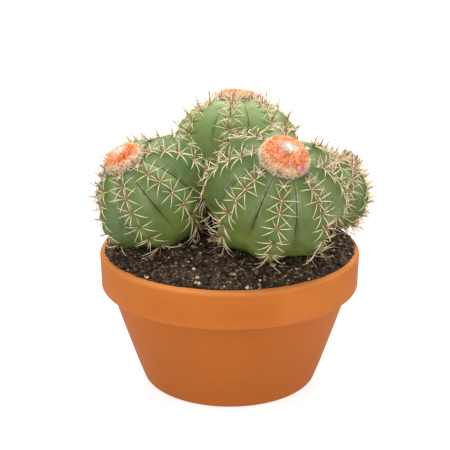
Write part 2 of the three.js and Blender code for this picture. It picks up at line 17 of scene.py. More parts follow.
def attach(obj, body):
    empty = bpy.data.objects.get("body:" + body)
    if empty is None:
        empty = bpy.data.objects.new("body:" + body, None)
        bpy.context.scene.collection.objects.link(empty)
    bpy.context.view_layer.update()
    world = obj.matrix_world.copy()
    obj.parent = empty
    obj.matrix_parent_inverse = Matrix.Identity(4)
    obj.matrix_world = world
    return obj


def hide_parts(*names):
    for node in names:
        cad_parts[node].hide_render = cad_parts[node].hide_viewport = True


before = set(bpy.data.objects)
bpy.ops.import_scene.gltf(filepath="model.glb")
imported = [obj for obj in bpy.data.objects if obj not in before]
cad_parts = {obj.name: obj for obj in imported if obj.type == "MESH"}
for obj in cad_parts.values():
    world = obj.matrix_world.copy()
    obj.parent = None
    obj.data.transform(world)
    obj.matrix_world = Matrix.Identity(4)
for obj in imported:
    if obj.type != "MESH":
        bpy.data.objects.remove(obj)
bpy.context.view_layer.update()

log = logging.getLogger("melocactus")

Array = np.ndarray
Draw = np.random.Generator
Material = bpy.types.Material
Piece = bpy.types.Object
Socket = bpy.types.NodeSocket
Colour = tuple[float, float, float, float]
Outline = list[tuple[float, float]]
Range = tuple[float, float]
Place = tuple[float, float, float]

MM = 0.001
GAP = 0.3 * MM
FULL_TURN = 2.0 * math.pi
GOLDEN_TURN = FULL_TURN * 0.381966
UP = np.array([0.0, 0.0, 1.0])
NOISE_STEP = np.array([7.3, 3.1, 1.7])
# Blender's numbers for the colour sockets of its mix node.
COLOUR_A, COLOUR_B, MIXED_COLOUR = 6, 7, 2


def deselect_all() -> None:
    """Leave nothing selected, in object mode."""
    if bpy.context.object and bpy.context.object.mode != "OBJECT":
        bpy.ops.object.mode_set(mode="OBJECT")
    bpy.ops.object.select_all(action="DESELECT")


def take_up(piece: Piece) -> None:
    """Select one piece alone and make it the active one.

    Args:
        piece: The piece.
    """
    deselect_all()
    piece.select_set(True)
    bpy.context.view_layer.objects.active = piece


def named(name: str) -> Piece:
    """Name the active object and its mesh.

    Args:
        name: The name for both.

    Returns:
        The object.
    """
    piece = bpy.context.object
    piece.name = piece.data.name = name
    return piece


def finish_with(piece: Piece, kind: str, **settings: object) -> None:
    """Add one modifier to a piece and apply it.

    Args:
        piece: The piece that gets the modifier.
        kind: Blender's name for the modifier's type.
        settings: The modifier's settings.
    """
    take_up(piece)
    modifier = piece.modifiers.new(kind.title(), kind)
    for key, value in settings.items():
        setattr(modifier, key, value)
    bpy.ops.object.modifier_apply(modifier=modifier.name)


def points_of(piece: Piece, field: str = "co") -> Array:
    """Read where a piece's vertices are, or their normals.

    Args:
        piece: The piece.
        field: Blender's name for what is read, "co" or "normal".

    Returns:
        Rows of x, y and z.
    """
    flat = np.zeros(len(piece.data.vertices) * 3)
    piece.data.vertices.foreach_get(field, flat)
    return flat.reshape(-1, 3)


def move_points(piece: Piece, points: Array) -> None:
    """Write rows of x, y and z back to a piece's vertices."""
    piece.data.vertices.foreach_set("co", np.asarray(points, float).ravel())
    piece.data.update()


def mark_points(piece: Piece, name: str, values: Array) -> None:
    """Keep one number a vertex for the piece's material to read."""
    layer = piece.data.attributes.new(name, "FLOAT", "POINT")
    layer.data.foreach_set("value", np.asarray(values, np.float32))


def rough(points: Array, size: float, seed: float) -> Array:
    """Sample smooth noise at points.

    Args:
        points: Rows of x, y and z.
        size: Rough width of one lump.
        seed: Shifts the noise, so that two layers differ.

    Returns:
        One number a point, from about -1 to 1.
    """
    spots = points / size + NOISE_STEP * seed
    return np.array([noise.noise(spot) for spot in spots.tolist()])


def unit(way: Array) -> Array:
    """Bring a direction to length 1."""
    return way / np.linalg.norm(way)


def level_ways(azimuth: float) -> tuple[Array, Array]:
    """Find the level directions at an azimuth.

    Args:
        azimuth: Angle from +X, in radians.

    Returns:
        The direction there, and the one a quarter turn on from it.
    """
    x, y = math.cos(azimuth), math.sin(azimuth)
    return np.array([x, y, 0.0]), np.array([-y, x, 0.0])


def turn_to(way: Array) -> Array:
    """Columns of the least turn that brings +Z to a direction."""
    return np.array(Vector(UP).rotation_difference(Vector(way)).to_matrix())


def loose_ways(lean: Array, spread: float, draw: Draw) -> tuple[Array, Array]:
    """Draw a direction near another one.

    Args:
        lean: The direction that the draws scatter round, of any length.
        spread: How far they scatter.
        draw: The random draws.

    Returns:
        The direction drawn, and one square to it.
    """
    way = unit(lean + draw.normal(0.0, spread, 3))
    return way, unit(np.cross(way, draw.normal(0.0, 1.0, 3)))


def raised_ring(name: str, outline: Outline, sides: int, pointed: bool = False) -> Piece:
    """Extrude and resize a filled circle ring by ring along an outline about the Z axis.

    Args:
        name: The new piece's name.
        outline: Radius and height of each ring, from the first to the last.
        sides: Number of sides of every ring.
        pointed: Whether the last ring closes to a point.

    Returns:
        The closed piece, with its faces turned out.
    """
    deselect_all()
    radius, height = outline[0]
    bpy.ops.mesh.primitive_circle_add(
        vertices=sides, radius=radius, fill_type="NGON", location=(0.0, 0.0, height)
    )
    piece = named(name)
    bpy.ops.object.transform_apply(location=True, rotation=False, scale=False)
    bpy.ops.object.mode_set(mode="EDIT")
    bpy.ops.mesh.select_all(action="SELECT")
    for (old_radius, old_height), (radius, height) in zip(outline, outline[1:]):
        rise = (0.0, 0.0, height - old_height)
        bpy.ops.mesh.extrude_region_move(TRANSFORM_OT_translate={"value": rise})
        share = radius / old_radius
        bpy.ops.transform.resize(value=(share, share, 1.0), center_override=(0.0, 0.0, height))
    if pointed:
        bpy.ops.mesh.merge(type="CENTER")
    bpy.ops.mesh.select_all(action="SELECT")
    bpy.ops.mesh.normals_make_consistent(inside=False)
    bpy.ops.object.mode_set(mode="OBJECT")
    return piece


def arc(radius_at: float, height_at: float, size: float, start: float, end: float,
        steps: int) -> Outline:
    """Outline points along a rounded edge.

    Args:
        radius_at: Radius of the rounding's own middle.
        height_at: Height of the rounding's own middle.
        size: Radius of the rounding.
        start: First angle.
        end: Last angle.
        steps: Number of stretches between them.

    Returns:
        Radius and height of each point.
    """
    turns = np.radians(np.linspace(start, end, steps + 1))
    return [(radius_at + size * math.cos(t), height_at + size * math.sin(t)) for t in turns]


@dataclass(frozen=True)
class Pattern:
    """One small modelled shape that is copied many times."""

    points: Array
    faces: list[tuple[int, ...]]

    @staticmethod
    def taken_from(piece: Piece) -> "Pattern":
        """Keep a modelled piece's shape and remove the piece.

        Args:
            piece: The modelled piece.

        Returns:
            Its shape.
        """
        faces = [tuple(face.vertices) for face in piece.data.polygons]
        shape = Pattern(points_of(piece), faces)
        bpy.data.meshes.remove(piece.data)
        return shape


class Gathering:
    """Copies of patterns, gathered as one piece."""

    def __init__(self, name: str) -> None:
        """Start an empty gathering.

        Args:
            name: The finished piece's name.
        """
        self.name = name
        self.points: list[Array] = []
        self.faces: list[tuple[int, ...]] = []
        self.marks: dict[str, list[Array]] = {}
        self.count = 0

    def add(self, pattern: Pattern, points: Array, **marks: Array | float) -> None:
        """Add one copy.

        Args:
            pattern: The shape that is copied.
            points: Its vertices, already in place.
            marks: Numbers for the material, one for each vertex or one for all.
        """
        size = len(points)
        self.points.append(points)
        self.faces.extend(tuple(corner + self.count for corner in face) for face in pattern.faces)
        for key, value in marks.items():
            self.marks.setdefault(key, []).append(np.broadcast_to(value, size))
        self.count += size

    def build(self) -> Piece:
        """Make the piece from all copies so far.

        Returns:
            The piece, shaded smooth.
        """
        mesh = bpy.data.meshes.new(self.name)
        mesh.from_pydata(np.concatenate(self.points).tolist(), [], self.faces)
        piece = bpy.data.objects.new(self.name, mesh)
        bpy.context.scene.collection.objects.link(piece)
        for key, values in self.marks.items():
            mark_points(piece, key, np.concatenate(values))
        mesh.shade_smooth()
        return piece


def tint(red: int, green: int, blue: int) -> Colour:
    """Turn a screen colour into the linear colour that a shader takes.

    Args:
        red: Red, from 0 to 255.
        green: Green, from 0 to 255.
        blue: Blue, from 0 to 255.

    Returns:
        The linear colour, opaque.
    """
    def linear(value: int) -> float:
        """Undo the screen's curve for one channel."""
        share = value / 255.0
        return share / 12.92 if share <= 0.04045 else ((share + 0.055) / 1.055) ** 2.4

    return (linear(red), linear(green), linear(blue), 1.0)


class Recipe:
    """One material's nodes, written step by step, with the colour that they give so far."""

    def __init__(self, name: str, roughness: float, specular: float, colour: object = None) -> None:
        """Start a material with one shader.

        Args:
            name: The material's name.
            roughness: The shader's roughness.
            specular: The shader's specular level.
            colour: The colour that the others are laid over, where it is a plain one.
        """
        self.material = bpy.data.materials.new(name)
        self.material.use_nodes = True
        self.tree = self.material.node_tree
        self.shader = self.tree.nodes["Principled BSDF"]
        self.shader.inputs["Roughness"].default_value = roughness
        self.shader.inputs["Specular IOR Level"].default_value = specular
        self.place = self.tree.nodes.new("ShaderNodeTexCoord").outputs["Object"]
        self.colour = colour

    def feed(self, socket: Socket, value: object) -> None:
        """Link a node's output to a socket, or set the socket to a plain value.

        Args:
            socket: The socket that is fed.
            value: Another node's output, or a plain value.
        """
        if isinstance(value, Socket):
            self.tree.links.new(value, socket)
        else:
            socket.default_value = value

    def node(self, kind: str, output: str | int, inputs: dict, **settings: object) -> Socket:
        """Add one node.

        Args:
            kind: Blender's name for the node's type, without ShaderNode.
            output: Which output is wanted.
            inputs: A value or a socket for each input that is fed.
            settings: The node's own settings.

        Returns:
            The output's socket.
        """
        node = self.tree.nodes.new(f"ShaderNode{kind}")
        for key, value in settings.items():
            setattr(node, key, value)
        for key, value in inputs.items():
            self.feed(node.inputs[key], value)
        return node.outputs[output]

    def stretched(self, x: float, y: float, z: float) -> Socket:
        """Object coordinates with each direction stretched by its own factor."""
        return self.node("Mapping", "Vector", {"Vector": self.place, "Scale": (x, y, z)})

    def noise(self, size: float, detail: float = 3.0, place: Socket | None = None) -> Socket:
        """Noise from 0 to 1 with lumps of a size, at a place or at the object's own points."""
        inputs = {"Vector": place or self.place, "Scale": 1.0 / size, "Detail": detail}
        return self.node("TexNoise", "Fac", inputs)

    def mark(self, name: str) -> Socket:
        """A number that the mesh carries at each vertex."""
        return self.node("Attribute", "Fac", {}, attribute_name=name)

    def ramp(self, value: Socket | str, *stops: tuple[float, object]) -> Socket:
        """Turn a number into a colour or a grey.

        Args:
            value: The socket that drives the ramp, or the name of a mark.
            stops: Pairs of a place from 0 to 1 and a colour, or a grey as one number.

        Returns:
            The ramp's colour socket.
        """
        node = self.tree.nodes.new("ShaderNodeValToRGB")
        self.feed(node.inputs["Fac"], self.mark(value) if isinstance(value, str) else value)
        band = node.color_ramp.elements
        while len(band) < len(stops):
            band.new(1.0)
        for element, (position, shade) in zip(band, stops):
            element.position = position
            grey = isinstance(shade, (int, float))
            element.color = (shade, shade, shade, 1.0) if grey else shade
        return node.outputs["Color"]

    def patches(self, size: float, detail: float, *stops: tuple[float, object]) -> Socket:
        """Soft patches of a size: noise through a ramp."""
        return self.ramp(self.noise(size, detail), *stops)

    def specks(self, size: float, *stops: tuple[float, object]) -> Socket:
        """Scattered specks, a size apart: the distance to the nearest one through a ramp."""
        inputs = {"Vector": self.place, "Scale": 1.0 / size}
        return self.ramp(self.node("TexVoronoi", "Distance", inputs), *stops)

    def product(self, first: object, second: object) -> Socket:
        """Two shares multiplied."""
        return self.node("Math", 0, {0: first, 1: second}, operation="MULTIPLY", use_clamp=True)

    def mix(self, share: object, first: object, second: object) -> Socket:
        """Mix two colours, with a share from 0 to 1 of the second."""
        inputs = {"Factor": share, COLOUR_A: first, COLOUR_B: second}
        return self.node("Mix", MIXED_COLOUR, inputs, data_type="RGBA")

    def lay(self, shade: object, share: object, *more: object) -> None:
        """Lay a shade over the colour so far.

        Args:
            shade: The colour or socket that is laid.
            share: How much of it shows, a number or a socket.
            more: Further shares that the first is multiplied by.
        """
        for other in more:
            share = self.product(share, other)
        self.colour = self.mix(share, self.colour, shade)

    def bump(self, height: Socket, depth: float, strength: float) -> None:
        """Raise the surface by a height map, on top of any earlier bump.

        Args:
            height: The map's socket.
            depth: Height that the map's 1 stands for.
            strength: How much of it shows.
        """
        inputs = {"Strength": strength, "Distance": depth, "Height": height}
        normal = self.shader.inputs["Normal"]
        if normal.is_linked:
            inputs["Normal"] = normal.links[0].from_socket
        self.feed(normal, self.node("Bump", "Normal", inputs))

    def done(self) -> Material:
        """Give the shader its colour and return the material."""
        self.feed(self.shader.inputs["Base Color"], self.colour)
        return self.material


@dataclass(frozen=True)
class FiredClay:
    """Smooth unglazed clay, orange, with painted shade on the body below the rim and a painted
    highlight on the lip, faint throwing lines and specks.
    """

    light: Colour = tint(197, 113, 45)
    deep: Colour = tint(187, 102, 37)
    bloom_and_lip_highlight: Colour = tint(206, 133, 72)
    speck: Colour = tint(150, 76, 32)
    painted_body_shade: Colour = tint(169, 87, 27)

    def material(self) -> Material:
        """Write the clay's nodes.

        Returns:
            The finished material.
        """
        clay = Recipe("fired_clay", 0.7, 0.16, self.light)
        clay.lay(self.deep, clay.patches(0.05, 4.0, (0.35, 0.0), (0.65, 1.0)))
        rings = clay.noise(0.012, 2.0, clay.stretched(0.04, 0.04, 1.0))
        clay.lay(self.bloom_and_lip_highlight, clay.ramp(rings, (0.52, 0.0), (0.75, 0.22)))
        rare = clay.patches(0.02, 1.0, (0.55, 0.0), (0.62, 1.0))
        clay.lay(self.speck, clay.specks(0.0045, (0.06, 0.4), (0.11, 0.0)), rare)
        # Painted shade: the body below the rim band is darker, as top light falls off on its downward
        # slope.
        clay.lay(self.painted_body_shade, clay.ramp("height", (0.0, 0.75), (0.72, 0.55), (0.74, 0.0)))
        # Painted highlight: the lip is lightened where top light catches its rounded edge. The same
        # colour also lightens the throwing lines.
        clay.lay(self.bloom_and_lip_highlight, clay.ramp("height", (0.978, 0.0), (0.996, 0.6)))
        clay.bump(rings, 0.0003, 0.3)
        clay.bump(clay.noise(0.0006), 0.00012, 0.4)
        return clay.done()


@dataclass(frozen=True)
class CactusSkin:
    """Waxy ribbed plant skin: painted shade in the crease, painted sheen beside it, pale scars and a
    yellowed foot partly painted light.
    """

    name: str
    mid: Colour
    cool: Colour
    pale: Colour
    olive_and_painted_light: Colour
    # The crease colour and its share darken the fold between ribs: painted shade.
    crease: Colour = tint(58, 74, 38)
    crease_shade_end: float = 0.52
    crease_shade_fade: float = 0.14
    crease_share: float = 0.55
    scar: Colour = tint(198, 204, 172)
    cork: Colour = tint(126, 104, 70)

    def material(self) -> Material:
        """Write the skin's nodes.

        Returns:
            The finished material.
        """
        skin = Recipe(self.name, 0.48, 0.22, self.mid)
        skin.lay(self.cool, skin.patches(0.026, 3.0, (0.36, 0.0), (0.64, 1.0)))
        skin.lay(self.pale, skin.patches(0.0035, 4.0, (0.3, 0.0), (0.7, 0.16)))
        self.lay_sheen_bands(skin)
        self.lay_age_and_foot_light(skin)
        self.lay_crease_shade_and_scars(skin)
        skin.bump(skin.noise(0.004, 4.0), 0.0005, 0.3)
        skin.bump(skin.noise(0.0009, 2.0), 0.0001, 0.4)
        return skin.done()

    def lay_sheen_bands(self, skin: Recipe) -> None:
        """Lay a greyer band beside the creases, strongest towards the crown: a painted sheen.

        Args:
            skin: The skin's recipe.
        """
        # Painted sheen: a pale grey band on the rib flanks beside the crease.
        band = skin.ramp("across", (0.35, 0.0), (0.8, 0.9), (0.97, 0.5))
        high = skin.ramp("polar", (0.2, 1.0), (0.56, 0.25))
        skin.lay(self.pale, band, high, skin.patches(0.011, 4.0, (0.38, 0.1), (0.62, 1.0)))

    def lay_age_and_foot_light(self, skin: Recipe) -> None:
        """Yellow the foot of the plant, its own colour and partly painted light, and dot the skin with
        pale and corky specks.

        Args:
            skin: The skin's recipe.
        """
        # The yellowed foot is partly the plant's own colour and partly painted light that lifts the low
        # skin out of shade.
        foot = skin.ramp("polar", (0.46, 0.0), (0.62, 0.65))
        skin.lay(self.olive_and_painted_light, foot, skin.patches(0.02, 4.0, (0.4, 0.1), (0.6, 1.0)))
        skin.lay(self.pale, skin.specks(0.0016, (0.08, 0.3), (0.2, 0.0)))
        rare = skin.patches(0.03, 1.0, (0.5, 0.0), (0.58, 1.0))
        skin.lay(self.cork, skin.specks(0.006, (0.05, 0.8), (0.09, 0.0)), rare)

    def lay_crease_shade_and_scars(self, skin: Recipe) -> None:
        """Draw the crease's painted shade and the thin scars along it, which fade out below the middle.

        Args:
            skin: The skin's recipe.
        """
        lines = skin.ramp(
            "across", (0.82, 0.0), (0.85, 0.45), (0.88, 0.0), (0.9, 0.0), (0.94, 1.0), (0.972, 0.0)
        )
        fade = skin.ramp("polar", (0.3, 1.0), (0.47, 0.0))
        skin.lay(self.scar, lines, fade, skin.patches(0.005, 2.0, (0.36, 0.25), (0.5, 1.0)))
        # Painted shade: a dark line down the fold between ribs, fading out below the middle.
        groove = skin.ramp("across", (0.976, 0.0), (0.996, self.crease_share))
        start = self.crease_shade_end - self.crease_shade_fade
        skin.lay(self.crease, groove, skin.ramp("polar", (start, 1.0), (self.crease_shade_end, 0.0)))


@dataclass(frozen=True)
class SpineHorn:
    """Horny spine, with its own colours at the root, along the shaft and at the tip."""

    name: str
    root: Colour
    low: Colour
    shaft: Colour
    tip: Colour
    worn: Colour

    def material(self) -> Material:
        """Write the spine's nodes.

        Returns:
            The finished material.
        """
        horn = Recipe(self.name, 0.45, 0.4)
        horn.colour = horn.ramp(
            "along", (0.03, self.root), (0.2, self.low), (0.38, self.shaft), (0.82, self.shaft),
            (0.97, self.tip),
        )
        horn.lay(self.worn, horn.mark("tone"))
        horn.lay(self.low, horn.patches(0.0022, 2.0, (0.4, 0.0), (0.7, 0.3)))
        horn.bump(horn.noise(0.0008, 2.0), 0.00008, 0.5)
        return horn.done()


@dataclass(frozen=True)
class Wool:
    """Felted plant wool: tan and stained, with painted shade in its pits, or pure white where the white
    mark says so.
    """

    white: Colour = tint(252, 247, 238)
    stained: Colour = tint(226, 206, 178)
    tan: Colour = tint(190, 150, 116)

    def material(self) -> Material:
        """Write the wool's nodes.

        Returns:
            The finished material.
        """
        wool = Recipe("areole_wool", 0.95, 0.1, self.stained)
        wool.lay(self.tan, wool.patches(0.0025, 4.0, (0.4, 0.0), (0.65, 1.0)))
        # Painted shade: tan laid where the bump's own noise is low, in the wool's pits.
        wool.lay(self.tan, wool.patches(0.0007, 3.0, (0.3, 0.5), (0.5, 0.0)))
        wool.lay(self.white, wool.mark("white"))
        wool.bump(wool.noise(0.0007), 0.0004, 0.8)
        return wool.done()


@dataclass(frozen=True)
class CapWool:
    """Wool of a cap's dome: white in the middle of its top, orange round that, cream on its side."""

    white: Colour = tint(250, 240, 228)
    blush: Colour = tint(252, 196, 168)
    orange: Colour = tint(244, 134, 66)
    cream: Colour = tint(253, 232, 200)
    tan: Colour = tint(236, 190, 146)
    sheen: float = 0.2

    def material(self) -> Material:
        """Write the dome's nodes.

        Returns:
            The finished material.
        """
        wool = Recipe("cap_wool", 0.95, 0.1, self.orange)
        clumps = wool.patches(0.0022, 3.0, (0.4, 0.0), (0.62, 1.0))
        wool.lay(self.blush, clumps)
        side = wool.mix(clumps, self.cream, self.tan)
        wool.lay(side, wool.ramp("side", (0.25, 0.0), (0.45, 1.0)))
        wool.lay(self.white, wool.ramp("middle", (0.3, 1.0), (0.44, 0.0)))
        wool.feed(wool.shader.inputs["Sheen Weight"], self.sheen)
        wool.bump(wool.noise(0.0007), 0.0004, 0.8)
        return wool.done()


@dataclass(frozen=True)
class CapBristle:
    """Cap bristle: bright orange on top of the cap, cream with brown ends down its side."""

    ember: Colour = tint(212, 70, 20)
    red: Colour = tint(246, 118, 38)
    orange: Colour = tint(254, 160, 76)
    apricot: Colour = tint(254, 196, 132)
    cream: Colour = tint(255, 236, 204)
    blush: Colour = tint(254, 204, 180)
    sand: Colour = tint(255, 222, 178)
    brown: Colour = tint(186, 112, 68)

    def material(self) -> Material:
        """Write the bristle's nodes.

        Returns:
            The finished material.
        """
        bristle = Recipe("cap_hair", 0.6, 0.15)
        bristle.colour = bristle.ramp(
            "tone", (0.05, self.ember), (0.2, self.red), (0.5, self.orange), (0.72, self.apricot),
            (0.92, self.cream),
        )
        bristle.lay(self.apricot, bristle.ramp("along", (0.0, 0.6), (0.5, 0.0)))
        bristle.lay(self.blush, bristle.ramp("middle", (0.34, 0.85), (0.56, 0.0)))
        bristle.lay(self.pale_side(bristle), bristle.ramp("side", (0.28, 0.0), (0.46, 1.0)))
        bristle.lay(self.cream, bristle.patches(0.004, 2.0, (0.52, 0.0), (0.7, 0.3)))
        return bristle.done()

    def pale_side(self, bristle: Recipe) -> Socket:
        """Colour the bristles down the cap's side, where the darker ones have brown ends.

        Args:
            bristle: The bristle's recipe.

        Returns:
            The colour's socket.
        """
        pale = bristle.ramp(
            "tone", (0.08, self.brown), (0.2, self.sand), (0.5, self.cream), (0.9, self.sand)
        )
        ends = bristle.ramp("along", (0.45, 0.0), (0.85, 1.0))
        dark = bristle.ramp("tone", (0.25, 0.9), (0.42, 0.05))
        return bristle.mix(bristle.product(ends, dark), pale, self.brown)


@dataclass(frozen=True)
class Compost:
    """Crumbly dark soil, or what lies in it, whose tone mark runs from damp and dark to dry."""

    name: str
    damp: Colour
    brown: Colour
    dry: Colour
    tone_share: float = 0.75

    def material(self) -> Material:
        """Write the soil's nodes.

        Returns:
            The finished material.
        """
        soil = Recipe(self.name, 0.72, 0.3)
        grains = soil.noise(0.0016, 5.0)
        soil.colour = soil.ramp(grains, (0.38, self.damp), (0.53, self.brown), (0.68, self.dry))
        soil.lay(self.damp, soil.patches(0.012, 3.0, (0.4, 0.55), (0.62, 0.0)))
        if self.tone_share:
            tones = soil.ramp("tone", (0.1, self.damp), (0.55, self.brown), (1.0, self.dry))
            soil.lay(tones, self.tone_share)
        soil.bump(grains, 0.0012, 0.9)
        soil.bump(soil.noise(0.0005), 0.0003, 0.6)
        return soil.done()


@dataclass(frozen=True)
class PinkFlesh:
    """Soft pink petal or berry skin, deeper towards one end."""

    name: str
    pale: Colour
    deep: Colour

    def material(self) -> Material:
        """Write the petal's nodes.

        Returns:
            The finished material.
        """
        flesh = Recipe(self.name, 0.45, 0.4)
        flesh.colour = flesh.ramp("along", (0.1, self.pale), (0.9, self.deep))
        flesh.lay(self.pale, flesh.patches(0.0009, 3.0, (0.45, 0.0), (0.65, 0.4)))
        flesh.bump(flesh.noise(0.0008, 2.0), 0.0001, 0.6)
        return flesh.done()


def settle(piece: Piece, material: Material, slot: str, *nodes: str) -> None:
    """Give a finished piece its material and body, and the nodes that it stands for.

    Args:
        piece: The finished piece.
        material: Its material.
        slot: Not used.
        nodes: The nodes that it replaces.
    """
    piece.data.materials.clear()
    piece.data.materials.append(material)
    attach(piece, "root")
    if nodes:
        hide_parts(*nodes)
    log.info("%s: %d faces", piece.name, len(piece.data.polygons))


@dataclass(frozen=True)
class ClayBowl:
    """The thrown bowl with its deep rim band and three drainage holes.

    The band's pairs are how far each point lies below the lip and inside the rim's radius.
    """

    height: float = 0.095
    rim_radius: float = 0.090
    rim_height: float = 0.025
    rim_taper: float = 0.0005
    neck_radius: float = 0.0834
    foot_radius: float = 0.0603
    mouth_radius: float = 0.082
    mouth_depth: float = 0.009
    wall: float = 0.007
    floor: float = 0.008
    belly: float = 0.0004
    lip_round: float = 0.003
    edge_round: float = 0.0015
    mouth_round: float = 0.001
    neck_round: float = 0.0016
    neck_clear: float = 0.002
    foot_round: float = 0.005
    foot_spread: float = 0.0012
    band: tuple[Range, ...] = ((0.015, 0.0004), (0.005, 0.0001), (0.0042, 0.00035), (0.0034, 0.00005))
    hub_radius: float = 0.010
    drain_radius: float = 0.005
    drain_circle: float = 0.024
    drains: int = 3
    drain_sides: int = 40
    wall_rings: int = 8
    sides: int = 180
    crisp_angle: float = 40.0

    def wall_radius(self, height: float) -> float:
        """Outer radius of the straight wall at a height."""
        slope = (self.neck_radius - self.foot_radius) / (self.height - self.rim_height)
        return self.foot_radius + slope * height

    def outline(self) -> Outline:
        """Draw the bowl's section.

        Returns:
            Radius and height from the middle of the underside, over the rim, to the inner floor.
        """
        rim_foot = self.height - self.rim_height
        heights = np.linspace(self.foot_round, rim_foot - self.neck_clear, self.wall_rings)
        wall = [
            (self.wall_radius(z) + self.belly * math.sin(math.pi * z / rim_foot), z) for z in heights
        ]
        foot = arc(self.foot_radius - self.foot_round + self.foot_spread, self.foot_round,
                   self.foot_round, -90, -18, 6)
        under = arc(self.neck_radius + self.neck_round, rim_foot - self.neck_round,
                    self.neck_round, 180, 90, 4)
        edge = arc(self.rim_radius - self.rim_taper - self.edge_round, rim_foot + self.edge_round,
                   self.edge_round, -90, 0, 5)
        band = [(self.rim_radius - inset, self.height - below) for below, inset in self.band]
        lip = arc(self.rim_radius - self.lip_round, self.height - self.lip_round,
                  self.lip_round, 0, 90, 8)
        mouth = arc(self.mouth_radius + self.mouth_round, self.height - self.mouth_round,
                    self.mouth_round, 90, 180, 4)
        inside = [
            (self.mouth_radius, self.height - self.mouth_depth),
            (self.neck_radius - self.wall, rim_foot),
            (self.wall_radius(self.floor) - self.wall, self.floor),
            (self.hub_radius, self.floor),
        ]
        outside = [(self.hub_radius, 0.0), *foot, *wall[1:], *under[1:], *edge, *band]
        return [*outside, *lip, *mouth, *inside]

    def drill(self, bowl: Piece, azimuth: float) -> None:
        """Drill one drainage hole.

        Args:
            bowl: The bowl.
            azimuth: The hole's direction from the middle, in radians.
        """
        deselect_all()
        bpy.ops.mesh.primitive_cylinder_add(
            vertices=self.drain_sides, radius=self.drain_radius, depth=3.0 * self.floor,
            location=self.drain_circle * level_ways(azimuth)[0] + self.floor / 2.0 * UP,
        )
        drill = bpy.context.object
        finish_with(bowl, "BOOLEAN", operation="DIFFERENCE", object=drill, solver="EXACT")
        bpy.data.objects.remove(drill)

    def build(self) -> None:
        """Raise the bowl ring by ring, drill it and dress it."""
        bowl = raised_ring("clay_bowl", self.outline(), self.sides)
        for order in range(self.drains):
            self.drill(bowl, FULL_TURN / 4.0 + order * FULL_TURN / self.drains)
        mark_points(bowl, "height", points_of(bowl)[:, 2] / self.height)
        take_up(bowl)
        bpy.ops.object.shade_smooth_by_angle(angle=math.radians(self.crisp_angle))
        settle(bowl, FiredClay().material(), "terracotta", "bowl")


